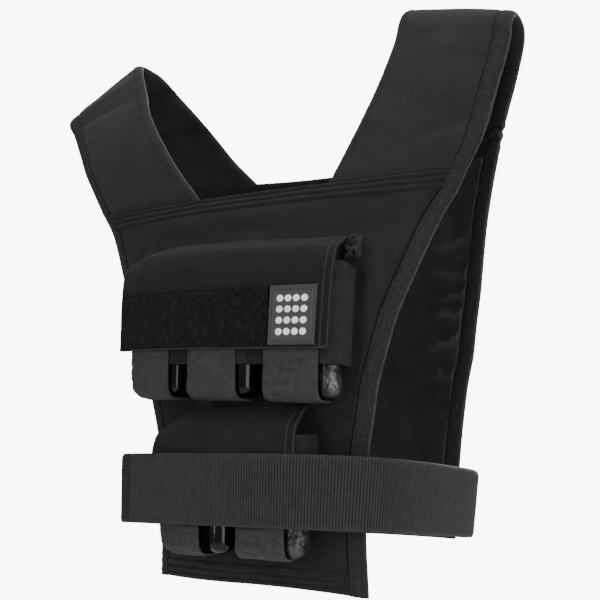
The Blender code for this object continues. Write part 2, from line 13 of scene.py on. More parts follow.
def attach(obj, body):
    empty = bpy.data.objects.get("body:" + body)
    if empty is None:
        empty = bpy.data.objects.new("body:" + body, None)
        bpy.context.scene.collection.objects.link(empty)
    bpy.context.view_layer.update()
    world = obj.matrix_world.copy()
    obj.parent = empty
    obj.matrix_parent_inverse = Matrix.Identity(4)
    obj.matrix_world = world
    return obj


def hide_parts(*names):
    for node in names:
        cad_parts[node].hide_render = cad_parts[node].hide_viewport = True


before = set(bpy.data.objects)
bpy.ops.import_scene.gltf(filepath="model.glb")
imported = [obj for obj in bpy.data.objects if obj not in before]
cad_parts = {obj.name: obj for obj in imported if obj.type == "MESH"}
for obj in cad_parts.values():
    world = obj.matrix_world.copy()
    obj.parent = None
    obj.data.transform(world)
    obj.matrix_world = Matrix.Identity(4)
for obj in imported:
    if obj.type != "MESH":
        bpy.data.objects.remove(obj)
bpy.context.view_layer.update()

# Studio. The vest hangs from its shoulder rest in front of white, over a pale matt floor, and soft
# boxes light it from the left, the right and above.
HEM_LEVEL = -0.528       # the front hem, below the shoulder rest
CAMERA_TURN = 32.0       # degrees round to the wearer's left
CAMERA_RISE = 6.86       # degrees that the camera looks up
CAMERA_PLACE = Vector((0.6198, -0.9968, HEM_LEVEL + 0.1287))
CAMERA_LENS = 72.24
CAMERA_SENSOR = 36.0
FLOOR_DROP = 0.24        # below the front hem
FLOOR_RADIUS = 1.25
FLOOR_SIDES = 96

camera_data = bpy.data.cameras.new("photo_camera")
camera_data.lens = CAMERA_LENS
camera_data.sensor_width = CAMERA_SENSOR
camera = bpy.data.objects.new("photo_camera", camera_data)
turn = math.radians(CAMERA_TURN)
rise = math.radians(CAMERA_RISE)
gaze = Vector((-math.sin(turn) * math.cos(rise), math.cos(turn) * math.cos(rise), math.sin(rise)))
camera.location = CAMERA_PLACE
camera.rotation_euler = gaze.to_track_quat("-Z", "Y").to_euler()
bpy.context.scene.collection.objects.link(camera)
bpy.context.scene.camera = camera


def add_soft_box(name, place, aim, size, power):
    lamp = bpy.data.lights.new(name, "AREA")
    lamp.shape = "RECTANGLE"
    lamp.size, lamp.size_y = size
    lamp.energy = power
    holder = bpy.data.objects.new(name, lamp)
    holder.location = place
    holder.rotation_euler = (Vector(aim) - Vector(place)).to_track_quat("-Z", "Y").to_euler()
    bpy.context.scene.collection.objects.link(holder)


add_soft_box("left_strip", (-0.75, -2.05, 0.1), (0, 0, -0.3), (0.08, 1.7), 17)
add_soft_box("right_box", (1.8, -1.05, -0.1), (0, 0, -0.3), (1.5, 1.7), 36)
add_soft_box("top_box", (0.2, -0.3, 1.5), (0, 0, -0.3), (1.4, 1.4), 23)
add_soft_box("back_box", (0.3, 1.9, 0.5), (0, 0, -0.3), (1.4, 1.4), 50)

world = bpy.data.worlds.new("white_studio")
bpy.context.scene.world = world
world.use_nodes = True
surround = world.node_tree
seen = surround.nodes.new("ShaderNodeLightPath")
strength = surround.nodes.new("ShaderNodeMapRange")
strength.inputs["To Min"].default_value = 0.33      # on the vest
strength.inputs["To Max"].default_value = 9.0       # behind it
surround.nodes["Background"].inputs["Color"].default_value = (1, 1, 1, 1)
surround.links.new(seen.outputs["Is Camera Ray"], strength.inputs["Value"])
surround.links.new(strength.outputs["Result"], surround.nodes["Background"].inputs["Strength"])

floor_mesh = bpy.data.meshes.new("floor")
floor_rim = []
for step in range(FLOOR_SIDES):
    turn = math.tau * step / FLOOR_SIDES
    floor_rim.append((FLOOR_RADIUS * math.cos(turn), FLOOR_RADIUS * math.sin(turn), HEM_LEVEL - FLOOR_DROP))
floor_mesh.from_pydata(floor_rim, [], [list(range(FLOOR_SIDES))])
floor = bpy.data.objects.new("floor", floor_mesh)
bpy.context.scene.collection.objects.link(floor)
floor_paint = bpy.data.materials.new("floor_paint")
floor_paint.use_nodes = True
paint = floor_paint.node_tree.nodes["Principled BSDF"].inputs
paint["Base Color"].default_value = (0.86, 0.86, 0.86, 1)
paint["Roughness"].default_value = 0.9
floor_mesh.materials.append(floor_paint)


# Body panels. Two padded panels of matt nylon cloth, curved round the body and cut in a V. Their
# lining shows through the armhole, and the cloth puckers where the edge tape is sewn on.
HEM_HALF = 0.121         # half the front hem's width
FRONT_RISE = 0.372
BACK_RISE = 0.379
BACK_LIFT = 0.038
FRONT_DEPTH = 0.110
BACK_DEPTH = 0.116
NECK_DIP = 0.008
NECK_SLANT = 0.005       # how much lower the front neckline ends on the left
HEM_SLANT = 0.0075       # how much higher the front hem is on the left and in the middle
DIP_POWER = 8            # how fast these fade away from the neckline and the hem
GAP = 0.0004
SEAM_LAP = 0.0012         # how far sewn pieces run under each other
PANEL_THICKNESS = 0.008
BINDING_WIDTH = 0.016
HEM_HEIGHT = 0.020
COLLAR_HEIGHT = 0.019
PANEL_STEP = 0.0042      # mesh size of the padded cloth
SHARP_TURN = math.radians(60)

# Rise is a share of the panel's rise, left and right of HEM_HALF, depths of the middle's depth.
Section = namedtuple("Section", "rise left right left_depth right_depth middle")
FRONT_SECTIONS = (
    Section(0.000, 0.91, 1.00, 0.72, 0.82, 0.98),
    Section(0.160, 0.89, 1.00, 0.75, 0.86, 1.00),
    Section(0.320, 0.90, 1.03, 0.77, 0.87, 1.00),
    Section(0.400, 0.94, 1.07, 0.78, 0.87, 1.00),
    Section(0.485, 1.01, 1.11, 0.78, 0.86, 1.00),
    Section(0.565, 1.09, 1.17, 0.76, 0.83, 1.00),
    Section(0.645, 1.20, 1.23, 0.71, 0.78, 0.99),
    Section(0.725, 1.32, 1.31, 0.66, 0.70, 0.97),
    Section(0.805, 1.47, 1.38, 0.57, 0.58, 0.93),
    Section(0.885, 1.60, 1.46, 0.49, 0.46, 0.87),
    Section(0.940, 1.69, 1.555, 0.45, 0.41, 0.81),
    Section(1.000, 1.81, 1.64, 0.42, 0.39, 0.73),
)
BACK_SECTIONS = (
    Section(0.000, 1.00, 1.00, 0.74, 0.76, 0.98),
    Section(0.220, 1.00, 1.03, 0.76, 0.83, 1.00),
    Section(0.385, 1.06, 1.10, 0.76, 0.83, 1.00),
    Section(0.465, 1.12, 1.16, 0.74, 0.82, 1.00),
    Section(0.545, 1.21, 1.22, 0.70, 0.76, 0.99),
    Section(0.630, 1.31, 1.30, 0.64, 0.67, 0.97),
    Section(0.710, 1.42, 1.38, 0.56, 0.55, 0.93),
    Section(0.790, 1.53, 1.46, 0.50, 0.44, 0.86),
    Section(0.870, 1.62, 1.55, 0.45, 0.34, 0.79),
    Section(0.955, 1.71, 1.645, 0.40, 0.26, 0.71),
    Section(1.000, 1.76, 1.68, 0.38, 0.25, 0.66),
)


def smooth(knots, values, at):
    """A smooth curve through the values at the knots, for numbers and vectors alike."""
    last = len(knots) - 1
    step = 0
    while step < last - 1 and at > knots[step + 1]:
        step += 1

    def slope(index):
        low = max(index - 1, 0)
        high = min(index + 1, last)
        return (values[high] - values[low]) / (knots[high] - knots[low])

    span = knots[step + 1] - knots[step]
    t = (at - knots[step]) / span
    start = values[step] * (2 * t**3 - 3 * t**2 + 1) + slope(step) * (span * (t**3 - 2 * t**2 + t))
    end = values[step + 1] * (3 * t**2 - 2 * t**3) + slope(step + 1) * (span * (t**3 - t**2))
    return start + end


class Panel:
    """A body panel's outer face: curved across, and shaped by its sections from hem to neckline."""

    def __init__(self, sections, facing, rise, depth, hem):
        self.facing = facing
        self.rise = rise
        self.depth = depth
        self.hem = hem
        self.knots = [row.rise for row in sections]
        self.columns = {name: [getattr(row, name) for row in sections] for name in Section._fields}

    def read(self, column, share):
        return smooth(self.knots, self.columns[column], share)

    def reach(self, side, share):
        return HEM_HALF * self.read("left" if side < 0 else "right", share)

    def face(self, out, share):
        side = -1 if out < 0 else 1
        bow = (out / self.reach(side, share)) ** 2
        middle = self.read("middle", share)
        edge = self.read("left_depth" if side < 0 else "right_depth", share)
        depth = self.depth * (middle - (middle - edge) * bow)
        dip = NECK_DIP * (1 - bow) * share**DIP_POWER
        if self.facing < 0:
            left = 1.0 if side < 0 else 0.0
            dip += NECK_SLANT * left * bow * share**DIP_POWER
            dip -= HEM_SLANT * (1 - bow * (1 - left)) * (1 - share) ** DIP_POWER
        return Vector((out, self.facing * depth, self.hem + self.rise * share - dip))

    def normal(self, out, share):
        step = 0.001
        across = self.face(out + step, share) - self.face(out - step, share)
        up = self.face(out, share + step) - self.face(out, share - step)
        return (across.cross(up) * -self.facing).normalized()

    def point(self, out, share, proud=0.0):
        return self.face(out, share) + self.normal(out, share) * proud

    def span(self, u, share, lap=0.0):
        """Where u lies between the panel's bindings, and how far they are apart."""
        left = -self.reach(-1, share) + BINDING_WIDTH - lap
        right = self.reach(1, share) - BINDING_WIDTH + lap
        return left + (right - left) * u, right - left


FRONT = Panel(FRONT_SECTIONS, -1, FRONT_RISE, FRONT_DEPTH, HEM_LEVEL)
BACK = Panel(BACK_SECTIONS, 1, BACK_RISE, BACK_DEPTH, HEM_LEVEL + BACK_LIFT)


def steps(start, end, size, edge=0.0):
    """Even stations from start to end, with three more close to each end where an edge is rounded."""
    inside_start = start + edge
    inside_end = end - edge
    count = max(1, round((inside_end - inside_start) / size))
    inner = [inside_start + (inside_end - inside_start) * index / count for index in range(count + 1)]
    if not edge:
        return inner
    near = (0.0, 0.06, 0.25, 0.6)
    return [start + edge * share for share in near] + inner + [end - edge * share for share in reversed(near)]


def round_off(distance, radius):
    """From 0 at an edge to 1 at the radius, as a quarter circle."""
    if distance >= radius:
        return 1.0
    return math.sqrt(max(0.0, 1 - (1 - distance / radius) ** 2))


def make_piece(name, points, faces, mapped=True, sharp=True):
    """A smooth closed object whose faces look outwards; a sharp one keeps its hard edges."""
    mesh = bpy.data.meshes.new(name)
    mesh.from_pydata(points, [], faces)
    mesh.update()
    volume = 0.0
    for face in mesh.polygons:
        corners = [mesh.vertices[index].co for index in face.vertices]
        for left, right in zip(corners[1:], corners[2:]):
            volume += corners[0].dot(left.cross(right))
    if volume < 0:
        mesh.flip_normals()
    if mapped:
        mesh.uv_layers.new(name="cloth")
    mesh.shade_smooth()
    if sharp:
        mesh.set_sharp_from_angle(angle=SHARP_TURN)
    piece = bpy.data.objects.new(name, mesh)
    bpy.context.scene.collection.objects.link(piece)
    return piece


def strip(low, high, columns, wide):
    """Faces between two rows of points that start at low and high; a ring closes on itself."""
    pairs = [(column, (column + 1) % wide) for column in range(columns)]
    return [(low + left, low + right, high + right, high + left) for left, right in pairs]


def shell(name, us, vs, outer, inner, measure, ring=False):
    """A closed piece between an outer and an inner face, both given over the stations us and vs.

    The texture map runs in metres: measure is the width and the length that the stations cover.
    """
    wide = len(us)
    tall = len(vs)
    points = [face(u, v) for face in (outer, inner) for v in vs for u in us]
    layer = wide * tall
    columns = wide - 1 + ring
    faces = []
    for low in range(0, layer - wide, wide):
        faces += strip(low, low + wide, columns, wide)
        faces += strip(layer + low + wide, layer + low, columns, wide)
        if not ring:
            left, right = low, low + wide - 1
            faces.append((left, left + wide, layer + left + wide, layer + left))
            faces.append((right + wide, right, layer + right, layer + right + wide))
    faces += strip(layer, 0, columns, wide)
    faces += strip(layer - wide, 2 * layer - wide, columns, wide)
    piece = make_piece(name, points, faces)
    width = measure[0] / (us[-1] - us[0])
    length = measure[1] / (vs[-1] - vs[0])
    places = [((u - us[0]) * width, (v - vs[0]) * length) for v in vs for u in us]
    layout = piece.data.uv_layers["cloth"].data
    for loop in piece.data.loops:
        layout[loop.index].uv = places[loop.vertex_index % layer]
    return piece


def circle(aside, up, sides):
    """Arms to the corners of a ring, from its two directions."""
    turns = [math.tau * corner / sides for corner in range(sides)]
    return [aside * math.cos(turn) + up * math.sin(turn) for turn in turns]


def cap(tip, first, sides):
    return [(tip, first + (corner + 1) % sides, first + corner) for corner in range(sides)]


def capped_tube(first, rings, sides):
    """Faces of rings of points that stand between two tips, numbered from first on."""
    end = first + 1 + (rings - 1) * sides
    faces = cap(first, first + 1, sides)
    for low in range(first + 1, end, sides):
        faces += strip(low, low + sides, sides, sides)
    return faces + [face[::-1] for face in cap(end + sides, end, sides)]


def ripple(spot, size, seed):
    """Soft uneven relief from -1 to 1 that repeats at about this size."""
    return noise.noise(Vector((spot[0] / size, spot[1] / size, seed)))


# Folds pressed into cloth: where they lie on it, their turn, and length, width and height.
Fold = namedtuple("Fold", "out up turn length width height")


def fold_table(*rows):
    """Folds from rows in millimetres, with the turn in degrees."""
    table = [Fold(*[value / 1000 for value in row]) for row in rows]
    return [fold._replace(turn=math.radians(fold.turn * 1000)) for fold in table]


def folded(rows, out, up):
    relief = 0.0
    for row in rows:
        aside = out - row.out
        above = up - row.up
        along = aside * math.cos(row.turn) + above * math.sin(row.turn)
        across = above * math.cos(row.turn) - aside * math.sin(row.turn)
        relief += row.height * math.exp(-(along / row.length) ** 2 - (across / row.width) ** 2)
    return relief


def feed(tree, node, inputs):
    """Links or sets a node's inputs, by their names or numbers."""
    for key, value in inputs.items():
        if isinstance(value, bpy.types.NodeSocket):
            tree.links.new(value, node.inputs[key])
        else:
            node.inputs[key].default_value = value


def add_node(tree, kind, inputs, **settings):
    node = tree.nodes.new("ShaderNode" + kind)
    for name, value in settings.items():
        setattr(node, name, value)
    feed(tree, node, inputs)
    return node.outputs


def reckon(tree, operation, *values):
    """The result of a maths node on linked or fixed values."""
    return add_node(tree, "Math", dict(enumerate(values)), operation=operation)[0]


def start_group(name, inputs, outputs):
    group = bpy.data.node_groups.new(name, "ShaderNodeTree")
    for label, value in inputs.items():
        socket = group.interface.new_socket(label, in_out="INPUT", socket_type="NodeSocketFloat")
        socket.default_value = value
    for label in outputs:
        group.interface.new_socket(label, in_out="OUTPUT", socket_type="NodeSocketFloat")
    return group, group.nodes.new("NodeGroupInput").outputs, group.nodes.new("NodeGroupOutput")


def make_weave():
    """Plain weave from the cloth's own map, and its lint; painted shade darkens the valleys between cords,
    and a strip past the selvedge mark is made lighter.
    """
    group, given, result = start_group("plain_weave", {
        "Thread": 0.001, "Unevenness": 0.3, "Grain": 38.0, "Cord": 1.0, "Cord Depth": 0.0,
        "Selvedge": 1.0, "Selvedge Gain": 0.0,
    }, ("Height", "Lint", "Shade"))
    work = partial(reckon, group)
    place = add_node(group, "TexCoord", {})
    wander = add_node(group, "TexNoise", {"Vector": place["UV"], "Scale": 160})
    drift = add_node(group, "VectorMath", {0: wander["Color"], 1: (0.003, 0.003, 0), 2: place["UV"]},
                     operation="MULTIPLY_ADD")
    parts = add_node(group, "SeparateXYZ", {0: drift[0]})
    turns = work("DIVIDE", math.tau, given["Thread"])
    warp, weft = [work("SINE", work("MULTIPLY", parts[axis], turns)) for axis in "XY"]
    slub = add_node(group, "TexNoise", {"Vector": place["UV"], "Scale": 420, "Detail": 4})
    height = work("MULTIPLY_ADD", slub["Fac"], given["Unevenness"], work("MULTIPLY", warp, weft))
    lint = add_node(group, "TexNoise", {
        "Vector": place["Object"], "Scale": given["Grain"], "Detail": 6, "Roughness": 0.7,
    })
    flat = add_node(group, "SeparateXYZ", {0: place["UV"]})
    # Painted shade: the colour is darkened in the valleys between cords and ribs, where shade would fall.
    cord = work("MULTIPLY", flat["X"], work("DIVIDE", math.pi, given["Cord"]))
    valley = work("SUBTRACT", 1.0, work("POWER", work("ABSOLUTE", work("SINE", cord)), CORD_POWER))
    shade = work("SUBTRACT", 1.0, work("MULTIPLY", valley, given["Cord Depth"]))
    # Past the selvedge mark the colour is made lighter by the gain.
    lighter_edge = work("MULTIPLY", work("GREATER_THAN", flat["X"], given["Selvedge"]), given["Selvedge Gain"])
    feed(group, result, {"Height": height, "Lint": lint["Fac"], "Shade": work("ADD", shade, lighter_edge)})
    return group


CORD_POWER = 0.6         # how narrow the valleys between cords and ribs are
WEAVE = make_weave()


def grey(value):
    return (value, value, value * 1.04, 1)


def toned(tree, factor, dark, light, low=0.0, high=1.0):
    """A colour from dark to light grey, as a factor goes from low to high."""
    node = tree.nodes.new("ShaderNodeValToRGB")
    for element, place, value in zip(node.color_ramp.elements, (low, high), (dark, light)):
        element.position = place
        element.color = grey(value)
    feed(tree, node, {"Fac": factor})
    return node.outputs["Color"]


def start_material(name, group, inputs):
    """A material with a shared group in it: the material, its tree and the group's results."""
    material = bpy.data.materials.new(name)
    material.use_nodes = True
    return material, material.node_tree, add_node(material.node_tree, "Group", inputs, node_tree=group)


def finish_material(tree, height, strength, depth, inputs):
    relief = add_node(tree, "Bump", {"Strength": strength, "Distance": depth, "Height": height})
    feed(tree, tree.nodes["Principled BSDF"], {**inputs, "Normal": relief["Normal"]})


def cloth_material(name, dark, light, thread, bump, roughness, sheen=0.04, specular=0.16, **weave_inputs):
    """Woven cloth between a dark and a light grey, with its threads in the surface."""
    inputs = {label.replace("_", " ").title(): value for label, value in weave_inputs.items()}
    material, tree, weave = start_material(name, WEAVE, {"Thread": thread, **inputs})
    tone = toned(tree, weave["Lint"], dark, light, 0.35, 0.68)
    # The tone is scaled by the weave's painted shade between cords and its lighter edge strip.
    shaded = add_node(tree, "VectorMath", {0: tone, "Scale": weave["Shade"]}, operation="SCALE")
    finish_material(tree, weave["Height"], 0.6, bump, {
        "Base Color": shaded[0],
        "Roughness": reckon(tree, "MULTIPLY_ADD", weave["Lint"], 0.25, roughness - 0.12),
        "Specular IOR Level": specular, "Sheen Weight": sheen, "Sheen Roughness": 0.5,
    })
    return material


def dress(piece, material, slot, *nodes):
    """Gives a piece its material and hides the CAD nodes that it stands for; the slot is not used."""
    piece.data.materials.append(material)
    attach(piece, "root")
    if nodes:
        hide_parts(*nodes)
    return piece


PANEL_CLOTH = cloth_material("panel_cloth", 0.006, 0.012, 0.0011, 0.00010, 0.72)
# The lining on the panels' inner faces is a satin cloth, and its grey is lighter than the cover's: painted
# light where little light reaches inside the armhole.
LIGHTENED_LINING_CLOTH = cloth_material("lining_cloth_painted_light", 0.009, 0.018, 0.0009, 0.00006, 0.46, specular=0.3)
LINING_TURN = 0.1        # how far inwards a face turns to count as lining
FRONT_FOLDS = fold_table(
    (128, 235, 75, 50, 7, 1.6),
    (140, 255, 62, 45, 6, -1.4),
    (120, 170, 85, 35, 6, 1.2),
    (155, 300, 48, 40, 8, 1.8),
    (135, 320, 20, 45, 7, -1.2),
    (-60, 335, -14, 60, 8, 1.2),
    (5, 326, -3, 100, 10, -2.2),
    (135, 290, 70, 50, 20, 3),
    (108, 325, 60, 30, 12, -2.2),
    (20, 332, 5, 70, 7, -1),
    (-140, 310, 58, 30, 6, -1.2),
    (95, 140, -12, 30, 5, 1.5),
    (94, 50, 60, 18, 5, 1.2),
)
BACK_FOLDS = fold_table(
    (137, 292, 8, 20, 3.2, 4),
    (134, 262, -12, 24, 3.4, 4.4),
    (129, 240, 6, 18, 2.8, 3.8),
    (124, 222, -6, 22, 3.4, 4.6),
    (118, 196, 14, 24, 3.4, 4.2),
    (110, 160, -8, 18, 3.4, 3.4),
    (120, 300, 72, 60, 8, 1.8),
    (145, 270, 60, 40, 6, -1.6),
    (95, 200, 88, 60, 9, 1.6),
    (110, 130, 96, 50, 7, -1.4),
    (-100, 230, 70, 60, 8, 1.6),
    (0, 180, 8, 80, 10, 1.4),
    (10, 290, -6, 90, 9, -1.4),
)


def puckers(run, distance, spacing=0.011, height=0.0010, fade=0.012):
    """Small gathers square to a seam, dying out away from it."""
    wander = noise.noise(Vector((run / 0.03, distance / 0.05, 3.0)))
    wave = math.sin(math.tau * (run / spacing + 0.6 * wander))
    return height * wave * math.exp(-distance / fade) * (0.6 + 0.4 * wander)


PANEL_SWELL = 0.0022
EDGE_DROP = 0.0022       # how far the cloth dips where another piece is sewn over it
COVERED_RELIEF = 0.0006  # the most that cloth may stand up under the sleeves and flaps
COVERED_MIDDLE = -0.005  # where they lie: reach, and shares of the panel's rise
COVERED_HALF = 0.122
COVERED_LOW = 0.06
COVERED_HIGH = 0.82
SEWN_EDGE = 0.004        # how far from its edges a panel's cloth is drawn down
LINING_RELIEF = 1.3      # the lining wrinkles more than the cover


def add_panel(panel, name, folds):
    low = (HEM_HEIGHT - SEAM_LAP) / panel.rise
    high = 1 - (COLLAR_HEIGHT - SEAM_LAP) / panel.rise

    def relief(u, share):
        out, width = panel.span(u, share)
        up = panel.rise * share
        inset = min(u, 1 - u) * width
        ends = min(up - panel.rise * low, panel.rise * high - up)
        body = PANEL_SWELL * round_off(inset, 0.035) * round_off(max(ends, 0.0), 0.03)
        body += folded(folds, out, up) + 0.0007 * ripple((out, up), 0.035, 2.0 + panel.facing)
        return out, inset, body + puckers(up, inset)

    def outer(u, share):
        out, inset, body = relief(u, share)
        body -= EDGE_DROP * (1 - round_off(inset, SEWN_EDGE))
        covered = panel is FRONT and abs(out - COVERED_MIDDLE) < COVERED_HALF
        covered = covered and COVERED_LOW < share < COVERED_HIGH
        return panel.point(out, share, min(body, COVERED_RELIEF) if covered else body)

    def inner(u, share):
        out, _, body = relief(u, share)
        return panel.point(out, share, -PANEL_THICKNESS - LINING_RELIEF * body)

    wide = HEM_HALF * 2.6
    us = [u / wide for u in steps(0.0, wide, PANEL_STEP, SEWN_EDGE)]
    vs = steps(low, high, PANEL_STEP / panel.rise)
    piece = shell(name + "_padded_cloth", us, vs, outer, inner, (wide, panel.rise * (high - low)))
    dress(piece, PANEL_CLOTH, "cloth", name + "_panel")
    # Faces turned inwards take the lighter lining cloth: painted light inside the armhole.
    piece.data.materials.append(LIGHTENED_LINING_CLOTH)
    for face in piece.data.polygons:
        if face.normal.y * panel.facing < -LINING_TURN:
            face.material_index = 1


add_panel(FRONT, "front", FRONT_FOLDS)
add_panel(BACK, "back", BACK_FOLDS)


# Stitches. Bonded thread, laid in short runs that sink into the cloth at both ends.
THREAD = cloth_material("sewing_thread", 0.018, 0.036, 0.0006, 0.0001, 0.55)
STITCH_PITCH = 0.0036
STITCH_LENGTH = 0.0026
THREAD_RADIUS = 0.00042
THREAD_SIDES = 6


def add_stitches(name, seams, slot):
    """One mesh of stitches along seams; each seam gives its length and a point and normal at a length."""
    points = []
    faces = []
    for length, place in seams:
        for number in range(int(length / STITCH_PITCH)):
            middle = (number + 0.5) * STITCH_PITCH
            start, up = place(middle - STITCH_LENGTH / 2)
            end, up = place(middle + STITCH_LENGTH / 2)
            run = (end - start).normalized()
            arms = circle(run.cross(up).normalized(), up, THREAD_SIDES)
            faces += capped_tube(len(points), 2, THREAD_SIDES)
            points.append(start - up * THREAD_RADIUS)
            for share in (0.2, 0.8):
                centre = start.lerp(end, share) + up * THREAD_RADIUS * 0.3
                points += [centre + arm * THREAD_RADIUS for arm in arms]
            points.append(end - up * THREAD_RADIUS)
    return dress(make_piece(name, points, faces, sharp=False), THREAD, slot)


# Hems and collar bands. Each hem is turned up and sewn twice, and three cords run in the tape that
# finishes each neckline.
HEM_ROWS = (0.0060, 0.0128)      # stitch rows above the hem
BAND_CLOTH = cloth_material("band_cloth", 0.007, 0.015, 0.0013, 0.00016, 0.78, grain=120)


def groove(distance, width, depth):
    return -depth * math.exp(-(distance / width) ** 2)


def add_band(panel, name, low, high, shape, rows, nodes):
    """A sewn band across a panel, from low to high in metres, with its own cross-section."""
    edge = 0.003
    rounding = 0.002

    def outer(u, up):
        share = up / panel.rise
        out, width = panel.span(u, share, SEAM_LAP)
        inset = min(u, 1 - u) * width
        drawn = 0.0015 * ripple((out, up), 0.030, 11.0) * math.sin(math.pi * (up - low) / (high - low))
        body = shape(up - low + drawn, high - up - drawn) + puckers(out, 0.0, 0.008, 0.0004)
        body += 0.0006 * ripple((out, up * 2), 0.016, 12.0)
        return panel.point(out, share, body - rounding * (1 - round_off(inset, edge)))

    def inner(u, up):
        out, _ = panel.span(u, up / panel.rise, SEAM_LAP)
        ends = min(up - low, high - up)
        return panel.point(out, up / panel.rise, -PANEL_THICKNESS + rounding * (1 - round_off(ends, edge)))

    wide = HEM_HALF * (2.2 if low < 0.1 else 3.0)
    us = [u / wide for u in steps(0.0, wide, 0.0050, edge)]
    vs = steps(low, high, 0.0009, rounding)
    piece = shell(name, us, vs, outer, inner, (wide, high - low))
    dress(piece, BAND_CLOTH, "cloth", *nodes)

    def seam(height):
        share = height / panel.rise
        left, width = panel.span(0.0, share)

        def place(at):
            lift = shape(height - low, high - height) + THREAD_RADIUS * 0.6
            return panel.point(left + at, share, lift), panel.normal(left + at, share)

        return width, place

    add_stitches(name + "_stitches", [seam(low + row) for row in rows], "cloth")


HEM_FULL = 0.0022
HEM_SUNK = 0.0012
COLLAR_CORDS = 3
CORD_HEIGHT = 0.0019


def hem_shape(above, below):
    turned = HEM_FULL * round_off(above, 0.004) * round_off(below, HEM_FULL)
    return turned + sum(groove(above - row, HEM_SUNK, 0.0014) for row in HEM_ROWS) - HEM_SUNK


def collar_shape(above, below):
    cords = CORD_HEIGHT * abs(math.sin(math.pi * COLLAR_CORDS * above / (above + below))) ** 0.8
    top = round_off(below, 0.004)
    return cords * round_off(above, 0.002) * top - EDGE_DROP * (1 - top)


COLLAR_ROWS = [COLLAR_HEIGHT * row / COLLAR_CORDS for row in range(1, COLLAR_CORDS)]
for panel, side in ((FRONT, "front"), (BACK, "back")):
    add_band(panel, side + "_hem", 0.0, HEM_HEIGHT, hem_shape, HEM_ROWS, [side + "_hem_binding"])
    add_band(panel, side + "_collar", panel.rise - COLLAR_HEIGHT, panel.rise, collar_shape,
             COLLAR_ROWS, [side + "_collar_band"])


# Shoulder straps. Wide padded straps sewn to the necklines, that fold over the shoulders; the left
# one leans out, and its inner side is creased where it turns.
SHOULDER_HALF = 0.230
VEST_RISE = 0.540
STRAP_THICKNESS = 0.006
STRAP_CROWN = 0.004
FLAT_FOLD = 0.35         # share of a strap, each way from its fold, in which its crown dies out
STRAP_STEP = 0.0042

Strap = namedtuple("Strap", "sign front_neck back_neck inner_reach inner_rise outer_reach outer_rise")
LEFT_STRAP = Strap(-1, 0.300, 0.430, 0.897, 1.005, 1.347, 0.911)
RIGHT_STRAP = Strap(1, 0.317, 0.385, 0.504, 1.000, 1.000, 0.960)

Lift = namedtuple("Lift", "climb inner_out inner_depth outer_out outer_depth")
LEFT_FRONT_LIFTS = (
    Lift(0.20, 0.243, 0.93, 0.178, 0.94),
    Lift(0.40, 0.451, 0.83, 0.365, 0.85),
    Lift(0.60, 0.640, 0.67, 0.528, 0.72),
    Lift(0.80, 0.790, 0.45, 0.700, 0.57),
    Lift(0.93, 0.903, 0.26, 0.868, 0.39),
)
LEFT_BACK_LIFTS = (
    Lift(0.20, 0.239, 0.91, 0.178, 0.94),
    Lift(0.40, 0.422, 0.79, 0.365, 0.85),
    Lift(0.60, 0.600, 0.63, 0.528, 0.72),
    Lift(0.80, 0.780, 0.42, 0.700, 0.57),
    Lift(0.93, 0.894, 0.26, 0.868, 0.39),
)
RIGHT_FRONT_LIFTS = (
    Lift(0.20, 0.305, 0.83, 0.360, 0.84),
    Lift(0.40, 0.605, 0.67, 0.560, 0.70),
    Lift(0.60, 0.849, 0.51, 0.790, 0.58),
    Lift(0.80, 1.000, 0.33, 0.960, 0.44),
    Lift(0.93, 1.030, 0.22, 0.985, 0.34),
)
RIGHT_BACK_LIFTS = (
    Lift(0.20, 0.239, 0.88, 0.236, 0.97),
    Lift(0.40, 0.460, 0.74, 0.476, 0.97),
    Lift(0.60, 0.680, 0.57, 0.700, 0.93),
    Lift(0.80, 0.880, 0.37, 0.926, 0.80),
    Lift(0.93, 0.970, 0.20, 1.020, 0.50),
)


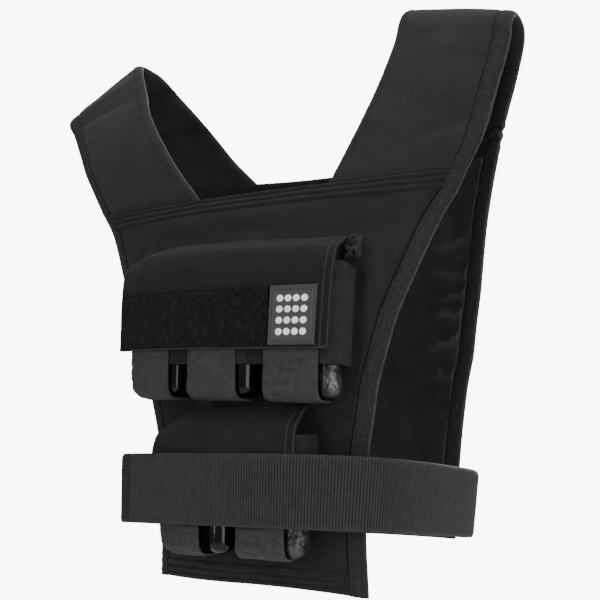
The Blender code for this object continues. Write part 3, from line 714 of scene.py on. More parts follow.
class StrapForm:
    """A strap's outer face, from the front neckline over its fold to the back neckline."""

    SEAM_SHARE = 0.2

    def __init__(self, strap, front_lifts, back_lifts):
        self.strap = strap
        stations = [self.seam(FRONT)]
        stations += [self.station(FRONT, row) for row in front_lifts]
        stations += [(self.fold("inner"), self.fold("outer"))]
        stations += [self.station(BACK, row) for row in reversed(back_lifts)]
        stations += [self.seam(BACK)]
        self.inner = [station[0] for station in stations]
        self.outer = [station[1] for station in stations]
        lengths = [0.0]
        for index in range(1, len(stations)):
            stride = (self.inner[index] - self.inner[index - 1]).length
            stride += (self.outer[index] - self.outer[index - 1]).length
            lengths.append(lengths[-1] + stride)
        self.length = lengths[-1] / 2
        self.knots = [length / lengths[-1] for length in lengths]

    def neck(self, panel):
        share = self.strap.front_neck if panel is FRONT else self.strap.back_neck
        return self.strap.sign * SHOULDER_HALF * share

    def seam(self, panel):
        side = self.strap.sign
        lift = Vector((0, 0, -SEAM_LAP))
        outer = panel.face(side * panel.reach(side, 1.0), 1.0)
        return panel.face(self.neck(panel), 1.0) + lift, outer + lift

    def fold(self, edge):
        out = self.strap.sign * SHOULDER_HALF * getattr(self.strap, edge + "_reach")
        return Vector((out, 0.0, HEM_LEVEL + VEST_RISE * getattr(self.strap, edge + "_rise")))

    def station(self, panel, row):
        points = []
        for edge, start in zip(("inner", "outer"), self.seam(panel)):
            end = self.fold(edge)
            out = getattr(row, edge + "_out")
            depth = getattr(row, edge + "_depth")
            points.append(Vector((
                start.x + (end.x - start.x) * out,
                start.y * depth,
                start.z + (end.z - start.z) * row.climb,
            )))
        return tuple(points)

    def ruled(self, across, along):
        inner = smooth(self.knots, self.inner, along)
        outer = smooth(self.knots, self.outer, along)
        return inner.lerp(outer, across)

    def seam_bow(self, panel, across):
        inner, outer = self.seam(panel)
        straight = inner.lerp(outer, across)
        return panel.face(straight.x, 1.0) - Vector((0, 0, SEAM_LAP)) - straight

    def face(self, across, along):
        front = max(0.0, 1 - along / self.SEAM_SHARE) ** 2
        back = max(0.0, 1 - (1 - along) / self.SEAM_SHARE) ** 2
        bow = self.seam_bow(FRONT, across) * front + self.seam_bow(BACK, across) * back
        level_top = min(1.0, abs(2 * along - 1) / FLAT_FOLD)
        crown = STRAP_CROWN * 4 * across * (1 - across) * (1 - front - back) * level_top
        return self.ruled(across, along) + bow + self.ruled_normal(across, along) * crown

    def ruled_normal(self, across, along):
        step = 0.01
        width = self.ruled(1.0, along) - self.ruled(0.0, along)
        low = max(along - step, 0.0)
        high = min(along + step, 1.0)
        run = self.ruled(across, high) - self.ruled(across, low)
        return (width.cross(run) * self.strap.sign).normalized()

    def normal(self, across, along):
        own = self.ruled_normal(across, along)
        for panel, share in ((FRONT, along), (BACK, 1 - along)):
            pull = max(0.0, 1 - share / self.SEAM_SHARE)
            corner = self.ruled(across, 0.0 if panel is FRONT else 1.0)
            own = own.lerp(panel.normal(corner.x, 1.0), pull)
        return own.normalized()

    def point(self, across, along, proud=0.0):
        return self.face(across, along) + self.normal(across, along) * proud

    def width(self, along):
        return (self.ruled(1.0, along) - self.ruled(0.0, along)).length

    def binding_share(self, along):
        return BINDING_WIDTH / abs((self.ruled(1.0, along) - self.ruled(0.0, along)).x)


LEFT_FORM = StrapForm(LEFT_STRAP, LEFT_FRONT_LIFTS, LEFT_BACK_LIFTS)
RIGHT_FORM = StrapForm(RIGHT_STRAP, RIGHT_FRONT_LIFTS, RIGHT_BACK_LIFTS)
STRAP_CLOTH = cloth_material("strap_cloth", 0.010, 0.017, 0.0012, 0.00008, 0.75, sheen=0.08)

# Folds across each strap, from its neck edge and from its front seam.
LEFT_STRAP_FOLDS = fold_table(
    (55, 150, 12, 50, 6, -2),
    (70, 175, 4, 50, 6, 2),
    (30, 215, -18, 30, 5, -2.6),
    (20, 240, -25, 30, 5, 2.2),
    (30, 262, -10, 35, 5.5, -2.6),
    (25, 290, -20, 40, 6, 2.2),
    (70, 320, 20, 50, 6, -1.6),
)
RIGHT_STRAP_FOLDS = fold_table(
    (20, 60, -28, 35, 6, 1.6),
    (90, 45, 20, 40, 6, -1.4),
    (60, 130, 8, 60, 10, 1.2),
    (80, 260, -15, 40, 6, 1.8),
    (95, 300, -35, 30, 5, -2.2),
    (105, 320, -30, 30, 5, 2.2),
    (100, 345, -20, 30, 5, -1.8),
)


STRAP_LINING_RELIEF = 2.0
STRAP_ROUNDING = 0.0065
STRAP_ENDS = 0.003


def add_strap(form, name, folds):
    """A padded strap: two swelling faces, rounded at the neck edge, with soft folds across."""
    half = STRAP_THICKNESS / 2

    def faces(u, along):
        """Place across, run, reach from the neck edge and the binding, relief, swelling, edge and dip."""
        covered = 1 - form.binding_share(along)
        aside, inset = [part * covered * form.width(along) for part in (u, 1 - u)]
        run = along * form.length
        ends = min(along, 1 - along) * form.length
        body = folded(folds, aside, run) + 0.0008 * ripple((aside, run), 0.04, 7.0 + form.strap.sign)
        plump = 0.0016 * round_off(inset, 0.02) * round_off(ends, 0.025)
        dip = 0.0012 * (1 - round_off(ends, STRAP_ENDS))
        return u * covered, run, aside, inset, body, plump, round_off(aside, STRAP_ROUNDING), dip

    def outer(u, along):
        across, run, aside, inset, body, plump, edge, dip = faces(u, along)
        body += plump + puckers(run, inset) + puckers(run, aside, 0.014, 0.0006)
        return form.point(across, along, -half + (half + body) * edge - dip)

    def inner(u, along):
        across, run, aside, _, body, plump, edge, dip = faces(u, along)
        body = plump - STRAP_LINING_RELIEF * body + puckers(run + 0.005, aside, 0.012, 0.0008)
        return form.point(across, along, -half - (half + body) * edge + dip)

    wide = 0.11
    us = [u / wide for u in steps(0.0, wide, STRAP_STEP, 0.006)]
    vs = [v / form.length for v in steps(0.0, form.length, STRAP_STEP, STRAP_ENDS)]
    piece = shell(name + "_padding", us, vs, outer, inner, (wide, form.length))
    dress(piece, STRAP_CLOTH, "strap_cloth", name)

    def sewn(u, across, along):
        away = form.normal(across, along)
        return outer(u, along) + away * THREAD_RADIUS * 0.5, away

    def neck_seam(inset):
        def place(at):
            along = at / form.length
            across = inset / form.width(along)
            return sewn(across / (1 - form.binding_share(along)), across, along)
        return form.length, place

    def end_seam(along):
        def place(at):
            return sewn(at / wide, at / wide * (1 - form.binding_share(along)), along)
        return wide, place

    inset = 0.006 / form.length
    add_stitches(name + "_stitches", [neck_seam(0.0075), end_seam(inset), end_seam(1 - inset)], "strap_cloth")


add_strap(LEFT_FORM, "left_shoulder_strap", LEFT_STRAP_FOLDS)
add_strap(RIGHT_FORM, "right_shoulder_strap", RIGHT_STRAP_FOLDS)


# Edge bindings. Woven tape folded over each outer edge, from the front hem over the strap to the
# back hem, and sewn through close to its inner edge.
# The tape's colour is made lighter along its outer edge.
TAPE_CLOTH = cloth_material("binding_tape", 0.006, 0.026, 0.0016, 0.00026, 0.74, grain=420, unevenness=0.9,
                            selvedge=BINDING_WIDTH - 0.0012, selvedge_gain=1.1)
TAPE_STEP = 0.0030
TAPE_BULGE = 0.0012
TAPE_ROWS = ((0.0030, 0.0006), (0.0125, 0.0005))     # stitch rows from the inner edge, and their depth


def add_binding(form, name):
    """The tape on one side: stations run up the front panel, over the strap and down the back."""
    side = form.strap.sign
    half = STRAP_THICKNESS / 2
    runs = [(FRONT, share) for share in steps(0.0, 1.0, TAPE_STEP / FRONT.rise)]
    runs += [(form, share) for share in steps(0.0, 1.0, TAPE_STEP / form.length)[1:-1]]
    back_seam = len(runs)
    runs += [(BACK, share) for share in reversed(steps(0.0, 1.0, TAPE_STEP / BACK.rise))]

    def bunch(station, aside):
        """Tight gathers where the tape is caught in the seam between strap and back."""
        past = (station - back_seam) * TAPE_STEP
        return 0.0020 * math.sin(past / 0.0019 + math.sin(aside / 0.004)) * math.exp(-(past / 0.013) ** 2)

    def locate(across, station):
        owner, share = runs[round(station)]
        if owner is form:
            reach = 1 - form.binding_share(share) * (1 - across)
            return form.face(reach, share), form.normal(reach, share)
        reach = side * (owner.reach(side, share) - BINDING_WIDTH * (1 - across))
        return owner.face(reach, share), owner.normal(reach, share)

    def folded_over(across, station, shift, spacing):
        """The spot, the way out, and how full the tape is there with its gathers."""
        spot, away = locate(across, station)
        aside = across * BINDING_WIDTH
        edge = round_off(BINDING_WIDTH - aside, 0.0045) * round_off(aside, 0.0012)
        body = TAPE_BULGE * math.sin(math.pi * min(1.0, across + 0.15))
        body += puckers(station * TAPE_STEP + shift, aside, spacing, 0.0005, 0.02)
        return spot, away, aside, edge, half + body

    def outer(across, station):
        spot, away, aside, edge, body = folded_over(across, station, 0.0, 0.0075)
        body += bunch(station, aside) + sum(groove(aside - row, 0.0008, depth) for row, depth in TAPE_ROWS)
        return spot + away * (-half + body * edge)

    def inner(across, station):
        spot, away, aside, edge, body = folded_over(across, station, 0.004, 0.0080)
        return spot - away * (half + (body + bunch(station + 1, aside)) * edge)

    stations = [float(index) for index in range(len(runs))]
    us = [u / BINDING_WIDTH for u in steps(0.0, BINDING_WIDTH, 0.0011, 0.0020)]
    length = FRONT.rise + form.length + BACK.rise
    piece = shell(name + "_tape", us, stations, outer, inner, (BINDING_WIDTH, length))
    dress(piece, TAPE_CLOTH, "binding", name)

    def seam(across):
        def place(at):
            station = min(at / length, 1.0) * (len(runs) - 1)
            away = locate(across, station)[1]
            return outer(across, station) + away * THREAD_RADIUS * 0.4, away
        return length, place

    add_stitches(name + "_stitches", [seam(row / BINDING_WIDTH) for row, _ in TAPE_ROWS], "binding")


add_binding(LEFT_FORM, "left_edge_binding")
add_binding(RIGHT_FORM, "right_edge_binding")


# Weight bars. Turned steel with rounded ends under a gloss black coat; the last bar of each row has
# lost its coat, and its bare steel is dented all over.
BAR_RADIUS = 0.0125
BAR_LENGTH = 0.104
BAR_ROUNDING = 0.010
SEAT_CLEARANCE = 0.0022
AXIS_PROUD = BAR_RADIUS + SEAT_CLEARANCE
BAR_SIDES = 64

Carrier = namedtuple("Carrier", "bars pitch middle foot lean loops loop_width low high seam shift width drop")
UPPER = Carrier(
    bars=6, pitch=0.0393, middle=-0.0027, foot=0.1705, lean=0.040, loops=(0.56, 2.38, 4.30), loop_width=0.050,
    low=0.029, high=0.114, seam=0.143, shift=-0.0048, width=0.218, drop=0.102,
)
LOWER = Carrier(
    bars=4, pitch=0.0359, middle=0.0112, foot=0.0315, lean=0.0, loops=(0.08, 2.30), loop_width=0.0445,
    low=0.030, high=0.106, seam=0.1295, shift=-0.0092, width=0.143, drop=0.092,
)


def bar_out(carrier, index):
    return carrier.middle + carrier.pitch * (index - (carrier.bars - 1) / 2)


def level(carrier, out, height):
    return (carrier.foot + height - carrier.lean * (out - carrier.middle)) / FRONT_RISE


def make_scuffs():
    """Uneven gloss and fine scratches on a coated or bare bar."""
    group, given, result = start_group("bar_scuffs", {"Size": 60.0}, ("Wear", "Scratch"))
    place = add_node(group, "TexCoord", {})["Object"]
    patches = add_node(group, "TexNoise", {"Vector": place, "Scale": given["Size"], "Detail": 8})
    scratch = add_node(group, "TexNoise", {"Vector": place, "Scale": 900, "Detail": 2})
    feed(group, result, {"Wear": patches["Fac"], "Scratch": scratch["Fac"]})
    return group


SCUFFS = make_scuffs()


def bar_material(name, dark, light, metallic, smoothest, roughest, coat):
    material, tree, scuffs = start_material(name, SCUFFS, {})
    finish_material(tree, scuffs["Scratch"], 0.15, 0.0002, {
        "Base Color": toned(tree, scuffs["Wear"], dark, light, 0.4, 0.62),
        "Roughness": reckon(tree, "MULTIPLY_ADD", scuffs["Wear"], roughest - smoothest, smoothest),
        "Metallic": metallic, "Specular IOR Level": 0.2, "Coat Weight": coat, "Coat Roughness": 0.12,
    })
    return material


BLACK_COAT = bar_material("black_coat", 0.002, 0.004, 0.0, 0.06, 0.16, 0.15)
BARE_STEEL = bar_material("bare_steel", 0.022, 0.075, 0.8, 0.24, 0.44, 0.0)
DENT_SIZE = 0.0052
DENT_REACH = 0.55        # of the way between two dents
DENT_DEPTH = 0.0007


def add_bar(carrier, node, index, dented):
    """A turned bar with rounded ends, standing on its foot; a dented one is beaten all over."""
    out = bar_out(carrier, index)
    foot = FRONT.point(out, level(carrier, out, 0.0), AXIS_PROUD)
    head = FRONT.point(out, level(carrier, out, BAR_LENGTH), AXIS_PROUD)
    axis = (head - foot).normalized()
    half = BAR_LENGTH / 2
    centre = foot + axis * half
    aside = axis.cross(Vector((0, 1, 0))).normalized()
    arms = circle(aside, aside.cross(axis).normalized(), BAR_SIDES)
    flat = BAR_RADIUS - BAR_ROUNDING
    profile = [(flat * share, -half) for share in (0.5, 1.0)]
    for step in range(1, 9):
        turn = math.radians(90 * step / 8)
        reach = flat + BAR_ROUNDING * math.sin(turn)
        profile.append((reach, BAR_ROUNDING * (1 - math.cos(turn)) - half))
    straight = 90 if dented else 6
    run = BAR_LENGTH - 2 * BAR_ROUNDING
    rounded = list(profile)
    profile += [(BAR_RADIUS, run * step / straight - run / 2) for step in range(1, straight)]
    profile += [(radius, -height) for radius, height in reversed(rounded)]
    points = [centre - axis * half]
    for radius, height in profile:
        for arm in arms:
            spot = centre + arm * radius + axis * height
            if dented and radius > flat:
                near = noise.voronoi(spot / DENT_SIZE + Vector((index, 0, 0)))[0][0]
                spot -= arm * DENT_DEPTH * max(0.0, 1 - (near / DENT_REACH) ** 2)
            points.append(spot)
    points.append(centre + axis * half)
    faces = capped_tube(0, len(profile), BAR_SIDES)
    bar = make_piece(node + "_turned", points, faces, mapped=False, sharp=False)
    dress(bar, BARE_STEEL if dented else BLACK_COAT, "bar_steel", node)


for carrier, name in ((UPPER, "upper"), (LOWER, "lower")):
    for index in range(carrier.bars):
        add_bar(carrier, "%s_bar_%d" % (name, index + 1), index, index == carrier.bars - 1)


# Elastic sleeves. One ribbed elastic piece lies over each row of bars, is drawn in between them and
# sewn down at both ends.
SLEEVE_CLEARANCE = 0.0005
SLEEVE_THICKNESS = 0.0012
SLEEVE_FLANGE = 0.003
SLEEVE_HEM = 0.0015       # from the sleeve's side down to where it is sewn
SLEEVE_VALLEY = 0.59      # how far out it stays between two bars, as a share of its radius
SEWN_GAP = 0.0012
LAYER_GAP = 0.0007
PULL_DEPTH = 0.0002      # slight waves where the elastic is pulled
PULL_PITCH = 0.017
PULL_LEAN = 60           # how much they lean, in waves' turns to a metre of height
UNDERSIDE = 0.0001       # how far a layer's inner face clears its path
RIB_PITCH = 0.0020
RIB_HEIGHT = 0.0005
# The valleys between its ribs are darkened with painted shade.
ELASTIC = cloth_material("ribbed_elastic", 0.011, 0.022, 0.0009, 0.00014, 0.72, grain=160, unevenness=0.5,
                         cord=RIB_PITCH, cord_depth=0.5)


def rib(at, pitch, height):
    """Rounded cords side by side, with narrow valleys between them."""
    return height * abs(math.sin(math.pi * at / pitch)) ** CORD_POWER


def path_lengths(path):
    runs = [0.0]
    for before, after in zip(path, path[1:]):
        runs.append(runs[-1] + (after - before).length)
    return runs


def sleeve_line(carrier):
    """The sleeve's inner face across the bars, as reach and height off the panel, and its lengths."""
    radius = BAR_RADIUS + SLEEVE_CLEARANCE
    last = carrier.bars - 1
    side = bar_out(carrier, 0) - radius
    line = [(side - SLEEVE_FLANGE, SEWN_GAP), (side - SLEEVE_HEM, SEWN_GAP)]
    for index in range(carrier.bars):
        out = bar_out(carrier, index)
        rising = range(-90, 0, 15) if index == 0 else (-45, -25)
        falling = range(15, 91, 15) if index == last else (25, 45)
        for angle in (*rising, 0, *falling):
            turn = math.radians(angle)
            line.append((out + radius * math.sin(turn), AXIS_PROUD + radius * math.cos(turn)))
        if index < last:
            line.append((out + carrier.pitch / 2, AXIS_PROUD + radius * SLEEVE_VALLEY))
    side = bar_out(carrier, last) + radius
    line += [(side + SLEEVE_HEM, SEWN_GAP), (side + SLEEVE_FLANGE, SEWN_GAP)]
    runs = [0.0]
    for before, after in zip(line, line[1:]):
        runs.append(runs[-1] + math.dist(before, after))
    return [Vector(spot) for spot in line], runs


def heading(runs, path, at, step):
    """The direction of a path at a length along it."""
    run = smooth(runs, path, min(at + step, runs[-1])) - smooth(runs, path, max(at - step, 0.0))
    return run.normalized()


def add_sleeve(carrier, name):
    line, runs = sleeve_line(carrier)
    length = runs[-1]
    tall = carrier.high - carrier.low

    def lay(at, height, proud):
        spot = smooth(runs, line, at)
        run = heading(runs, line, at, 0.0006)
        out = spot.x - run.y * proud
        return FRONT.point(out, level(carrier, out, height), spot.y + run.x * proud)

    def outer(at, height):
        ends = min(height - carrier.low, carrier.high - height)
        pulled = PULL_DEPTH * math.sin(at / PULL_PITCH + height * PULL_LEAN)
        body = SLEEVE_THICKNESS * round_off(ends, 0.0012) + rib(at, RIB_PITCH, RIB_HEIGHT)
        return lay(at, height, body + pulled)

    def inner(at, height):
        return lay(at, height, UNDERSIDE)

    us = steps(0.0, length, RIB_PITCH / 4)
    vs = steps(carrier.low, carrier.high, 0.009, 0.0015)
    piece = shell(name + "_ribbed", us, vs, outer, inner, (length, tall))
    dress(piece, ELASTIC, "elastic", name)


add_sleeve(UPPER, "upper_elastic_sleeve")
add_sleeve(LOWER, "lower_elastic_sleeve")


# Keeper loops. Webbing that comes down over each sleeve, turns under the bars' feet and is sewn to
# the panel, so the bars can't drop out.
LOOP_LENGTH = 0.070
LOOP_ROUNDING = 0.010
CORNER_ROUNDING = 0.024  # how far the first loop of a row gathers in at its outer corner
LOOP_TUCK = 0.4
FOOT_CLEARANCE = 0.0006
WEBBING_THICKNESS = 0.0018
WEBBING_RIB = 0.0022
SLEEVE_PROUD = AXIS_PROUD + BAR_RADIUS + SLEEVE_CLEARANCE + SLEEVE_THICKNESS
WEBBING = cloth_material("webbing", 0.023, 0.044, 0.0010, 0.00018, 0.70, grain=180, unevenness=0.6)


def lay_path(carrier, path, runs, out, at, proud, lower=0.0):
    """A point on a strip that follows a path (away, up) off the front panel, this far proud of it."""
    spot = smooth(runs, path, at)
    run = heading(runs, path, at, 0.0012)
    return FRONT.point(out, level(carrier, out, spot.y + run.x * proud - lower), spot.x - run.y * proud)


def add_keeper_loop(carrier, node, index):
    front = SLEEVE_PROUD + LAYER_GAP
    under = -FOOT_CLEARANCE
    path = [Vector((front, LOOP_LENGTH * share)) for share in (1.0, 0.8, 0.55, 0.35)]
    for step in range(7):
        turn = math.radians(-90 * step / 6)
        away = front + LOOP_ROUNDING * (math.cos(turn) - 1)
        path.append(Vector((away, under + LOOP_ROUNDING * (math.sin(turn) + 1))))
    path += [Vector((front * LOOP_TUCK, under)), Vector((0.0022, under))]
    runs = path_lengths(path)
    middle = bar_out(carrier, index)
    half = carrier.loop_width / 2

    def lay(aside, at, proud):
        """The webbing gathers inwards a little at its front, and more at the row's outer corner."""
        gathered = -0.03 * aside * math.sin(math.pi * min(1.0, at / (LOOP_LENGTH * 1.1)))
        if index < 1 and aside < 0:
            corner = 1 - round_off(max(0.0, LOOP_LENGTH - at), CORNER_ROUNDING)
            gathered -= 0.6 * corner * CORNER_ROUNDING * aside / half
        return lay_path(carrier, path, runs, middle + aside + gathered, at, proud)

    def outer(aside, at):
        edge = round_off(half - abs(aside), 0.0014)
        sag = 0.0007 * math.sin(at / 0.008 + 14 * aside) * math.sin(math.pi * at / runs[-1])
        crease = 0.0009 * noise.noise(Vector((aside / 0.020, at / 0.004, index)))
        body = WEBBING_THICKNESS * (0.45 + 0.55 * edge) + rib(at, WEBBING_RIB, 0.0004)
        return lay(aside, at, body + crease + max(sag, 0.0))

    def inner(aside, at):
        return lay(aside, at, UNDERSIDE)

    us = steps(-half, half, 0.0040, 0.0014)
    vs = steps(0.0, runs[-1], WEBBING_RIB / 5)
    piece = shell(node + "_webbing", us, vs, outer, inner, (carrier.loop_width, runs[-1]))
    dress(piece, WEBBING, "webbing", node)


for carrier, name in ((UPPER, "upper"), (LOWER, "lower")):
    for number, index in enumerate(carrier.loops):
        add_keeper_loop(carrier, "%s_keeper_loop_%d" % (name, number + 1), index)


# Flaps. Cloth sewn to the panel above each row, rolled over the bars' heads and down their front.
FLAP_SLOPE = 0.75
FLAP_BEND = 0.012
FLAP_THICKNESS = 0.0018
FLAP_HEM = 0.0052
TRIM_HEIGHT = 0.050      # of the hook band and the patch on the upper flap
TRIM_COVER = 0.056       # how far up from a flap's edge they hold it flat
PIPING_RADIUS = 0.0009
PIPING_SIDES = 8
FLAP_CORNER = 0.010      # how far a flap's left corner is rounded down, and over what width
CORNER_REACH = 0.040
FLAP_PROUD = SLEEVE_PROUD + LAYER_GAP + WEBBING_THICKNESS + LAYER_GAP
FLAP_CLOTH = cloth_material("flap_cloth", 0.005, 0.010, 0.0012, 0.00012, 0.74)

Roll = namedtuple("Roll", "away fall")
FLAP_ROLLS = (
    Roll(0.30, 0.12),
    Roll(0.62, 0.32),
    Roll(0.88, 0.51),
)
UPPER_FLAP_FOLDS = fold_table(
    (-85, 30, 62, 20, 6, 1.8),
    (-60, 16, 20, 30, 5, 1.2),
    (30, 12, 3, 60, 4, -0.8),
    (85, 18, -50, 16, 4.5, 1.6),
    (96, 30, -72, 16, 4, -1.2),
    (-20, 45, 0, 80, 5, 0.6),
)
LOWER_FLAP_FOLDS = fold_table(
    (-55, 30, 70, 20, 5, 1.2),
    (60, 26, -55, 20, 4, 1.2),
    (0, 48, 2, 60, 5, 0.6),
)


def flap_line(carrier):
    fall = (FLAP_PROUD - GAP) * FLAP_SLOPE + FLAP_BEND
    rest = carrier.seam - fall
    foot = carrier.seam - carrier.drop
    path = [Vector((0.0030, carrier.seam))]
    path += [Vector((FLAP_PROUD * row.away, carrier.seam - fall * row.fall)) for row in FLAP_ROLLS]
    path += [Vector((FLAP_PROUD, rest + (foot - rest) * step / 3)) for step in range(4)]
    return path


def add_piping(name, lines):
    """Round cord along lines of points, closed at both ends of each line."""
    points = []
    faces = []
    for line in lines:
        first = len(points)
        for number, spot in enumerate(line):
            run = (line[min(number + 1, len(line) - 1)] - line[max(number - 1, 0)]).normalized()
            aside = run.cross(Vector((0.3, -1.0, 0.2))).normalized()
            points += [spot + arm * PIPING_RADIUS for arm in circle(aside, aside.cross(run), PIPING_SIDES)]
        last = len(points) - PIPING_SIDES
        for low in range(first, last, PIPING_SIDES):
            faces += strip(low, low + PIPING_SIDES, PIPING_SIDES, PIPING_SIDES)
        faces += [tuple(range(last, len(points))), tuple(reversed(range(first, first + PIPING_SIDES)))]
    dress(make_piece(name, points, faces), PIPING, "cloth")


def ridge(distance, width, height):
    return height * math.exp(-(distance / width) ** 2)


def add_flap(carrier, node, folds, inner_cord):
    path = flap_line(carrier)
    runs = path_lengths(path)
    length = runs[-1]
    middle = carrier.middle + carrier.shift
    half = carrier.width / 2

    def lay(aside, at, proud):
        lowered = FLAP_CORNER * max(0.0, 1 - (aside + half) / CORNER_REACH) ** 2 * (1 - at / length)
        return lay_path(carrier, path, runs, middle + aside, at, proud, lowered)

    def outer(aside, at):
        inset = half - abs(aside)
        below = length - at
        proud = FLAP_THICKNESS * round_off(inset, 0.0016) * round_off(below, 0.0016)
        proud += 0.0006 * ripple((aside, at), 0.022, 5.0) * min(1.0, below / TRIM_HEIGHT)
        if below > TRIM_COVER or carrier is LOWER:
            proud += folded(folds, aside, at)
        hem = groove(inset - FLAP_HEM, 0.0007, 0.0004) + groove(below - FLAP_HEM, 0.0007, 0.0003)
        if carrier is UPPER:
            hem *= min(1.0, below / 0.054)
        proud += hem + ridge(inset - 0.0015, 0.0010, 0.0008) + ridge(below - 0.0012, 0.0008, 0.0008)
        return lay(aside, at, proud)

    def inner(aside, at):
        return lay(aside, at, UNDERSIDE)

    us = steps(-half, half, 0.0022, 0.0022)
    vs = steps(0.0, length, 0.0022, 0.0022)
    piece = shell(node + "_cloth", us, vs, outer, inner, (carrier.width, length))
    dress(piece, FLAP_CLOTH, "cloth", node)

    def place(run):
        out = middle + run - half
        return outer(run - half, 0.0030), FRONT.normal(out, level(carrier, out, 0.05))

    add_stitches(node + "_stitches", [(carrier.width, place)], "cloth")
    edge = half - PIPING_RADIUS
    foot = length - PIPING_RADIUS
    down = steps(0.004, foot, 0.003)
    hem = [outer(-edge, at) for at in down]
    hem += [outer(aside, foot) for aside in steps(-edge, edge, 0.004)[1:-1]]
    hem += [outer(edge, at) for at in reversed(down)]
    add_piping(node + "_piping", [hem, [outer(edge - inner_cord, at) for at in down]])


PIPING = cloth_material("piping", 0.016, 0.032, 0.0008, 0.0001, 0.70, grain=200)
add_flap(UPPER, "upper_flap", UPPER_FLAP_FOLDS, 0.0060)
add_flap(LOWER, "lower_flap", LOWER_FLAP_FOLDS, 0.0070)


def add_gathered_corner():
    """The upper flap's right corner, crumpled and tacked down to the panel beside the last bar."""
    wide = 0.015
    tall = 0.022
    left = UPPER.middle + UPPER.shift + UPPER.width / 2 - 0.003
    foot = UPPER.seam - 0.019

    def outer(aside, up):
        inset = min(aside, wide - aside, up, tall - up)
        crumple = noise.noise(Vector((aside / 0.0035, up / 0.0045, 1.0)))
        crumple += 0.6 * noise.noise(Vector((aside / 0.0018, up / 0.0016, 2.0)))
        body = (0.0065 + 0.0042 * crumple) * round_off(inset, 0.006)
        swing = 0.0012 * noise.noise(Vector((aside / 0.004, up / 0.004, 5.0)))
        return FRONT.point(left + aside + swing, level(UPPER, left, foot + up + swing), 0.0016 + body)

    def inner(aside, up):
        return FRONT.point(left + aside, level(UPPER, left, foot + up), 0.0004)

    us, vs = [steps(0.0, size, 0.0006, 0.002) for size in (wide, tall)]
    dress(shell("upper_flap_gathered_corner", us, vs, outer, inner, (wide, tall)), PIPING, "cloth")


add_gathered_corner()


# Hook band and patch. A wide strip of matted loop pile is sewn across the upper flap, and a moulded
# rubber patch with a raised border closes its end.
PATCH_WIDTH = 0.041
PATCH_MARGIN = 0.0105    # how much of the flap shows beside the patch
TRIM_MARGIN = 0.0025
TRIM_THICKNESS = 0.0020
TRIM_SEAT = FLAP_PROUD + FLAP_THICKNESS + LAYER_GAP
TRIM_FOOT = UPPER.seam - UPPER.drop + TRIM_MARGIN
TRIM_RIGHT = UPPER.middle + UPPER.shift + UPPER.width / 2 - PATCH_MARGIN
TRIM_LEFT = UPPER.middle + UPPER.shift - UPPER.width / 2 + TRIM_MARGIN
PILE = cloth_material("loop_pile", 0.001, 0.015, 0.0006, 0.0004, 0.95, specular=0.06, unevenness=6.0,
                      grain=300)


def add_trim(name, node, left, width, body, size, edge, material, slot):
    """A piece sewn flat on the upper flap; body gives its height from the place and the inset there."""
    def lay(aside, up, proud):
        out = left + aside
        return FRONT.point(out, level(UPPER, out, TRIM_FOOT + up), TRIM_SEAT + proud)

    def outer(aside, up):
        return lay(aside, up, body(aside, up, min(aside, width - aside, up, TRIM_HEIGHT - up)))

    def inner(aside, up):
        return lay(aside, up, 0.0)

    us, vs = [steps(0.0, length, size, edge) for length in (width, TRIM_HEIGHT)]
    dress(shell(name, us, vs, outer, inner, (width, TRIM_HEIGHT)), material, slot, node)


def pile_height(aside, up, inset):
    tufts = noise.noise(Vector((aside / 0.0021, up / 0.0018, 0.0)))
    matted = noise.noise(Vector((aside / 0.007, up / 0.005, 4.0)))
    body = TRIM_THICKNESS * round_off(inset, 0.0015) + 0.0006 * (tufts + matted) * round_off(inset, 0.003)
    return body + groove(inset - 0.0030, 0.0007, 0.0006)


add_trim("hook_band_pile", "hook_band", TRIM_LEFT, TRIM_RIGHT - PATCH_WIDTH - GAP - TRIM_LEFT,
         pile_height, 0.0013, 0.0015, PILE, "hook_and_loop")


PIP_COLUMNS = 4          # white pips stand in rows on the patch, inside its border
PIP_ROWS = 4
PIP_MARGIN = 0.0065
PIP_RADIUS = 0.0029


PIP_ACROSS = (PATCH_WIDTH - 2 * PIP_MARGIN) / PIP_COLUMNS
PIP_UP = (TRIM_HEIGHT - 2 * PIP_MARGIN) / PIP_ROWS
PIP_HEIGHT = 0.0006
PIP_ROUNDING = 0.0012
PIP_WHITE = (0.78, 0.78, 0.78, 1)
BORDER_HEIGHT = 0.0007


def make_pip_print():
    """Round white prints in rows, from the patch's own map."""
    group, given, result = start_group("pip_print", {"Margin": 0.006, "Radius": 0.003}, ("Mask",))
    work = partial(reckon, group)
    parts = add_node(group, "SeparateXYZ", {0: add_node(group, "TexCoord", {})["UV"]})
    squares = []
    field = 1.0
    for axis, pitch, count in (("X", PIP_ACROSS, PIP_COLUMNS), ("Y", PIP_UP, PIP_ROWS)):
        cell = work("DIVIDE", work("SUBTRACT", parts[axis], given["Margin"]), pitch)
        aside = work("MULTIPLY", work("SUBTRACT", work("FRACT", cell), 0.5), pitch)
        squares.append(work("MULTIPLY", aside, aside))
        off_middle = work("ABSOLUTE", work("SUBTRACT", cell, count / 2))
        field = work("MULTIPLY", work("LESS_THAN", off_middle, count / 2), field)
    printed = work("LESS_THAN", work("SQRT", work("ADD", *squares)), given["Radius"])
    feed(group, result, {"Mask": work("MULTIPLY", printed, field)})
    return group


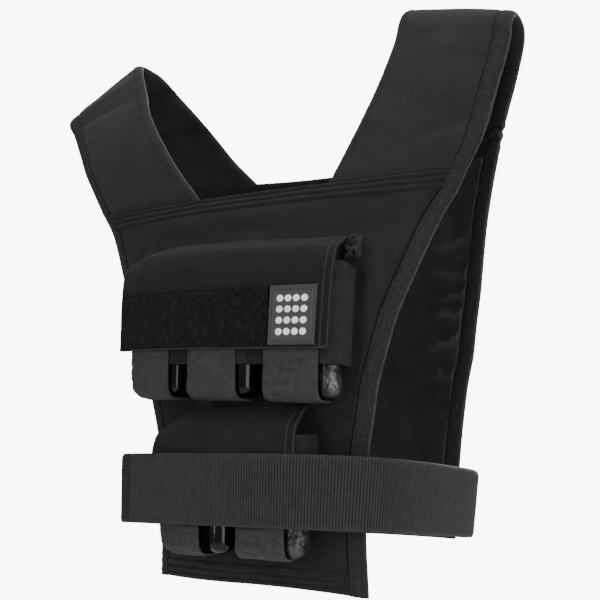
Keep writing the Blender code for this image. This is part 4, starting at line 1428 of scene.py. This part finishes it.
def rubber_material(name, dark, light, roughness):
    """Matt moulded rubber with white printed pips."""
    material, tree, scuffs = start_material(name, SCUFFS, {"Size": 140})
    tone = toned(tree, scuffs["Wear"], dark, light)
    pips = add_node(tree, "Group", {"Margin": PIP_MARGIN, "Radius": PIP_RADIUS}, node_tree=make_pip_print())
    mix = add_node(tree, "Mix", {"Factor": pips["Mask"], "A": tone, "B": PIP_WHITE}, data_type="RGBA")
    finish_material(tree, scuffs["Scratch"], 0.3, 0.0001, {
        "Base Color": mix["Result"],
        "Roughness": reckon(tree, "MULTIPLY_ADD", scuffs["Wear"], 0.2, roughness - 0.1),
    })
    return material


def patch_height(aside, up, inset):
    """Flat rubber with a double border, and the pips a little raised."""
    body = TRIM_THICKNESS * round_off(inset, 0.0010)
    for middle, width in ((0.0012, 0.0006), (0.0040, 0.0005)):
        body += BORDER_HEIGHT * math.exp(-((inset - middle) / width) ** 4)
    column = (aside - PIP_MARGIN) / PIP_ACROSS
    row = (up - PIP_MARGIN) / PIP_UP
    if 0 < column < PIP_COLUMNS and 0 < row < PIP_ROWS:
        distance = math.hypot((column % 1 - 0.5) * PIP_ACROSS, (row % 1 - 0.5) * PIP_UP)
        body += PIP_HEIGHT * round_off(max(0.0, PIP_RADIUS + 0.0003 - distance), PIP_ROUNDING)
    return body


add_trim("rubber_patch", "patch", TRIM_RIGHT - PATCH_WIDTH, PATCH_WIDTH, patch_height, 0.0005, 0.0010,
         rubber_material("patch_rubber", 0.017, 0.028, 0.55), "patch_rubber")


# Waist belt. A wide ribbed elastic belt round both panels that hangs lower at the back; the ribs
# run up and down, and a thin selvedge closes each edge.
BELT_HEIGHT = 0.0625
BELT_THICKNESS = 0.0022
BELT_MIDDLE = 0.0905
BELT_HALF = 0.169
BELT_DROP = 0.083
BELT_TUCK = 0.009        # how far the belt leans in towards its lower edge on the right
BELT_STRIDE = 0.002
BELT_SHADED_SIDE = (11, 19)     # the bends between which the belt's left side gets a darker copy of its cloth, painted shade where it turns away from the light
BELT_RIB = 0.0027
BELT_SELVEDGE = 0.0022

Bend = namedtuple("Bend", "out fore")
BELT_BENDS = (
    Bend(0.00, 1.00),
    Bend(0.36, 0.985),
    Bend(0.64, 0.88),
    Bend(0.84, 0.66),
    Bend(0.93, 0.34),
    Bend(0.945, 0.00),
    Bend(0.925, -0.42),
    Bend(0.80, -0.80),
    Bend(0.45, -0.985),
    Bend(0.00, -1.00),
    Bend(-0.45, -0.985),
    Bend(-0.80, -0.80),
    Bend(-0.93, -0.42),
    Bend(-0.95, 0.00),
    Bend(-0.945, 0.30),
    Bend(-0.91, 0.50),
    Bend(-0.84, 0.67),
    Bend(-0.745, 0.80),
    Bend(-0.665, 0.90),
    Bend(-0.59, 0.935),
    Bend(-0.36, 0.975),
)


def add_belt():
    front = FRONT_DEPTH + FLAP_PROUD + FLAP_THICKNESS + LAYER_GAP
    back = BACK_DEPTH + LAYER_GAP
    line = []
    for row in BELT_BENDS + BELT_BENDS[:1]:
        line.append(Vector((BELT_HALF * row.out, -row.fore * (front if row.fore > 0 else back))))
    runs = path_lengths(line)
    length = runs[-1]
    ribs = round(length / BELT_RIB)
    pitch = length / ribs
    shaded_side_start, shaded_side_end = [runs[bend] for bend in BELT_SHADED_SIDE]

    def lay(at, height, proud):
        run = Vector((1.0, 0.0)) if at < BELT_STRIDE else heading(runs, line, at, BELT_STRIDE)
        spot = smooth(runs, line, at) + Vector((run.y, -run.x)) * proud
        fall = BELT_DROP * (spot.y + front)
        tuck = BELT_TUCK * (0.5 - height / BELT_HEIGHT) * max(0.0, spot.x / BELT_HALF) ** 2
        return Vector((spot.x - tuck, spot.y, HEM_LEVEL + BELT_MIDDLE - fall + height))

    def ribbed(at, height, depth):
        """How full the belt is at its edges, and how high its ribs stand between the selvedges."""
        edge = BELT_HEIGHT / 2 - abs(height)
        inside = round_off(max(edge - BELT_SELVEDGE, 0.0), 0.002)
        return round_off(edge, 0.0013), rib(at, pitch, depth) * inside

    def outer(at, height):
        stretch = min(1.0, max(0.0, (lay(at, 0.0, 0.0).x + 0.03) / 0.06))
        full, ribs_here = ribbed(at, height, 0.0004 + 0.0008 * stretch)
        wave = 0.0004 * noise.noise(Vector((at / 0.06, height / 0.05, 8.0)))
        if shaded_side_start < at < shaded_side_end:
            wave -= 0.0007
        return lay(at, height, BELT_THICKNESS * (0.35 + 0.65 * full) + ribs_here - 0.0003 + wave)

    def inner(at, height):
        full, ribs_here = ribbed(at, height, 0.0005)
        return lay(at, height, 0.0002 + 0.3 * BELT_THICKNESS * (1 - full) - 0.3 * ribs_here)

    columns = ribs * 6
    us = [length * index / columns for index in range(columns)]
    vs = steps(-BELT_HEIGHT / 2, BELT_HEIGHT / 2, 0.012, 0.0045)
    piece = shell("ribbed_belt", us, vs, outer, inner, (length, BELT_HEIGHT), ring=True)
    # Painted shade darkens the belt cloth in the valleys between its ribs.
    elastic = cloth_material("belt_elastic", 0.020, 0.033, 0.0009, 0.00010, 0.66, grain=160, unevenness=0.5,
                             cord=pitch, cord_depth=0.35)
    # A darker copy of the belt cloth for its left side: painted shade where the belt turns away from the
    # light.
    shaded_side_webbing = cloth_material("belt_side_painted_shade", 0.010, 0.020, 0.0009, 0.00016, 0.70, grain=160,
                                  unevenness=0.7, cord=pitch, cord_depth=0.2)
    dress(piece, elastic, "elastic", "waist_belt")
    # Faces between the two bends take the darker copy: painted shade.
    piece.data.materials.append(shaded_side_webbing)
    for face in piece.data.polygons:
        at = us[min(index % columns for index in face.vertices)]
        if shaded_side_start < at < shaded_side_end:
            face.material_index = 1


add_belt()
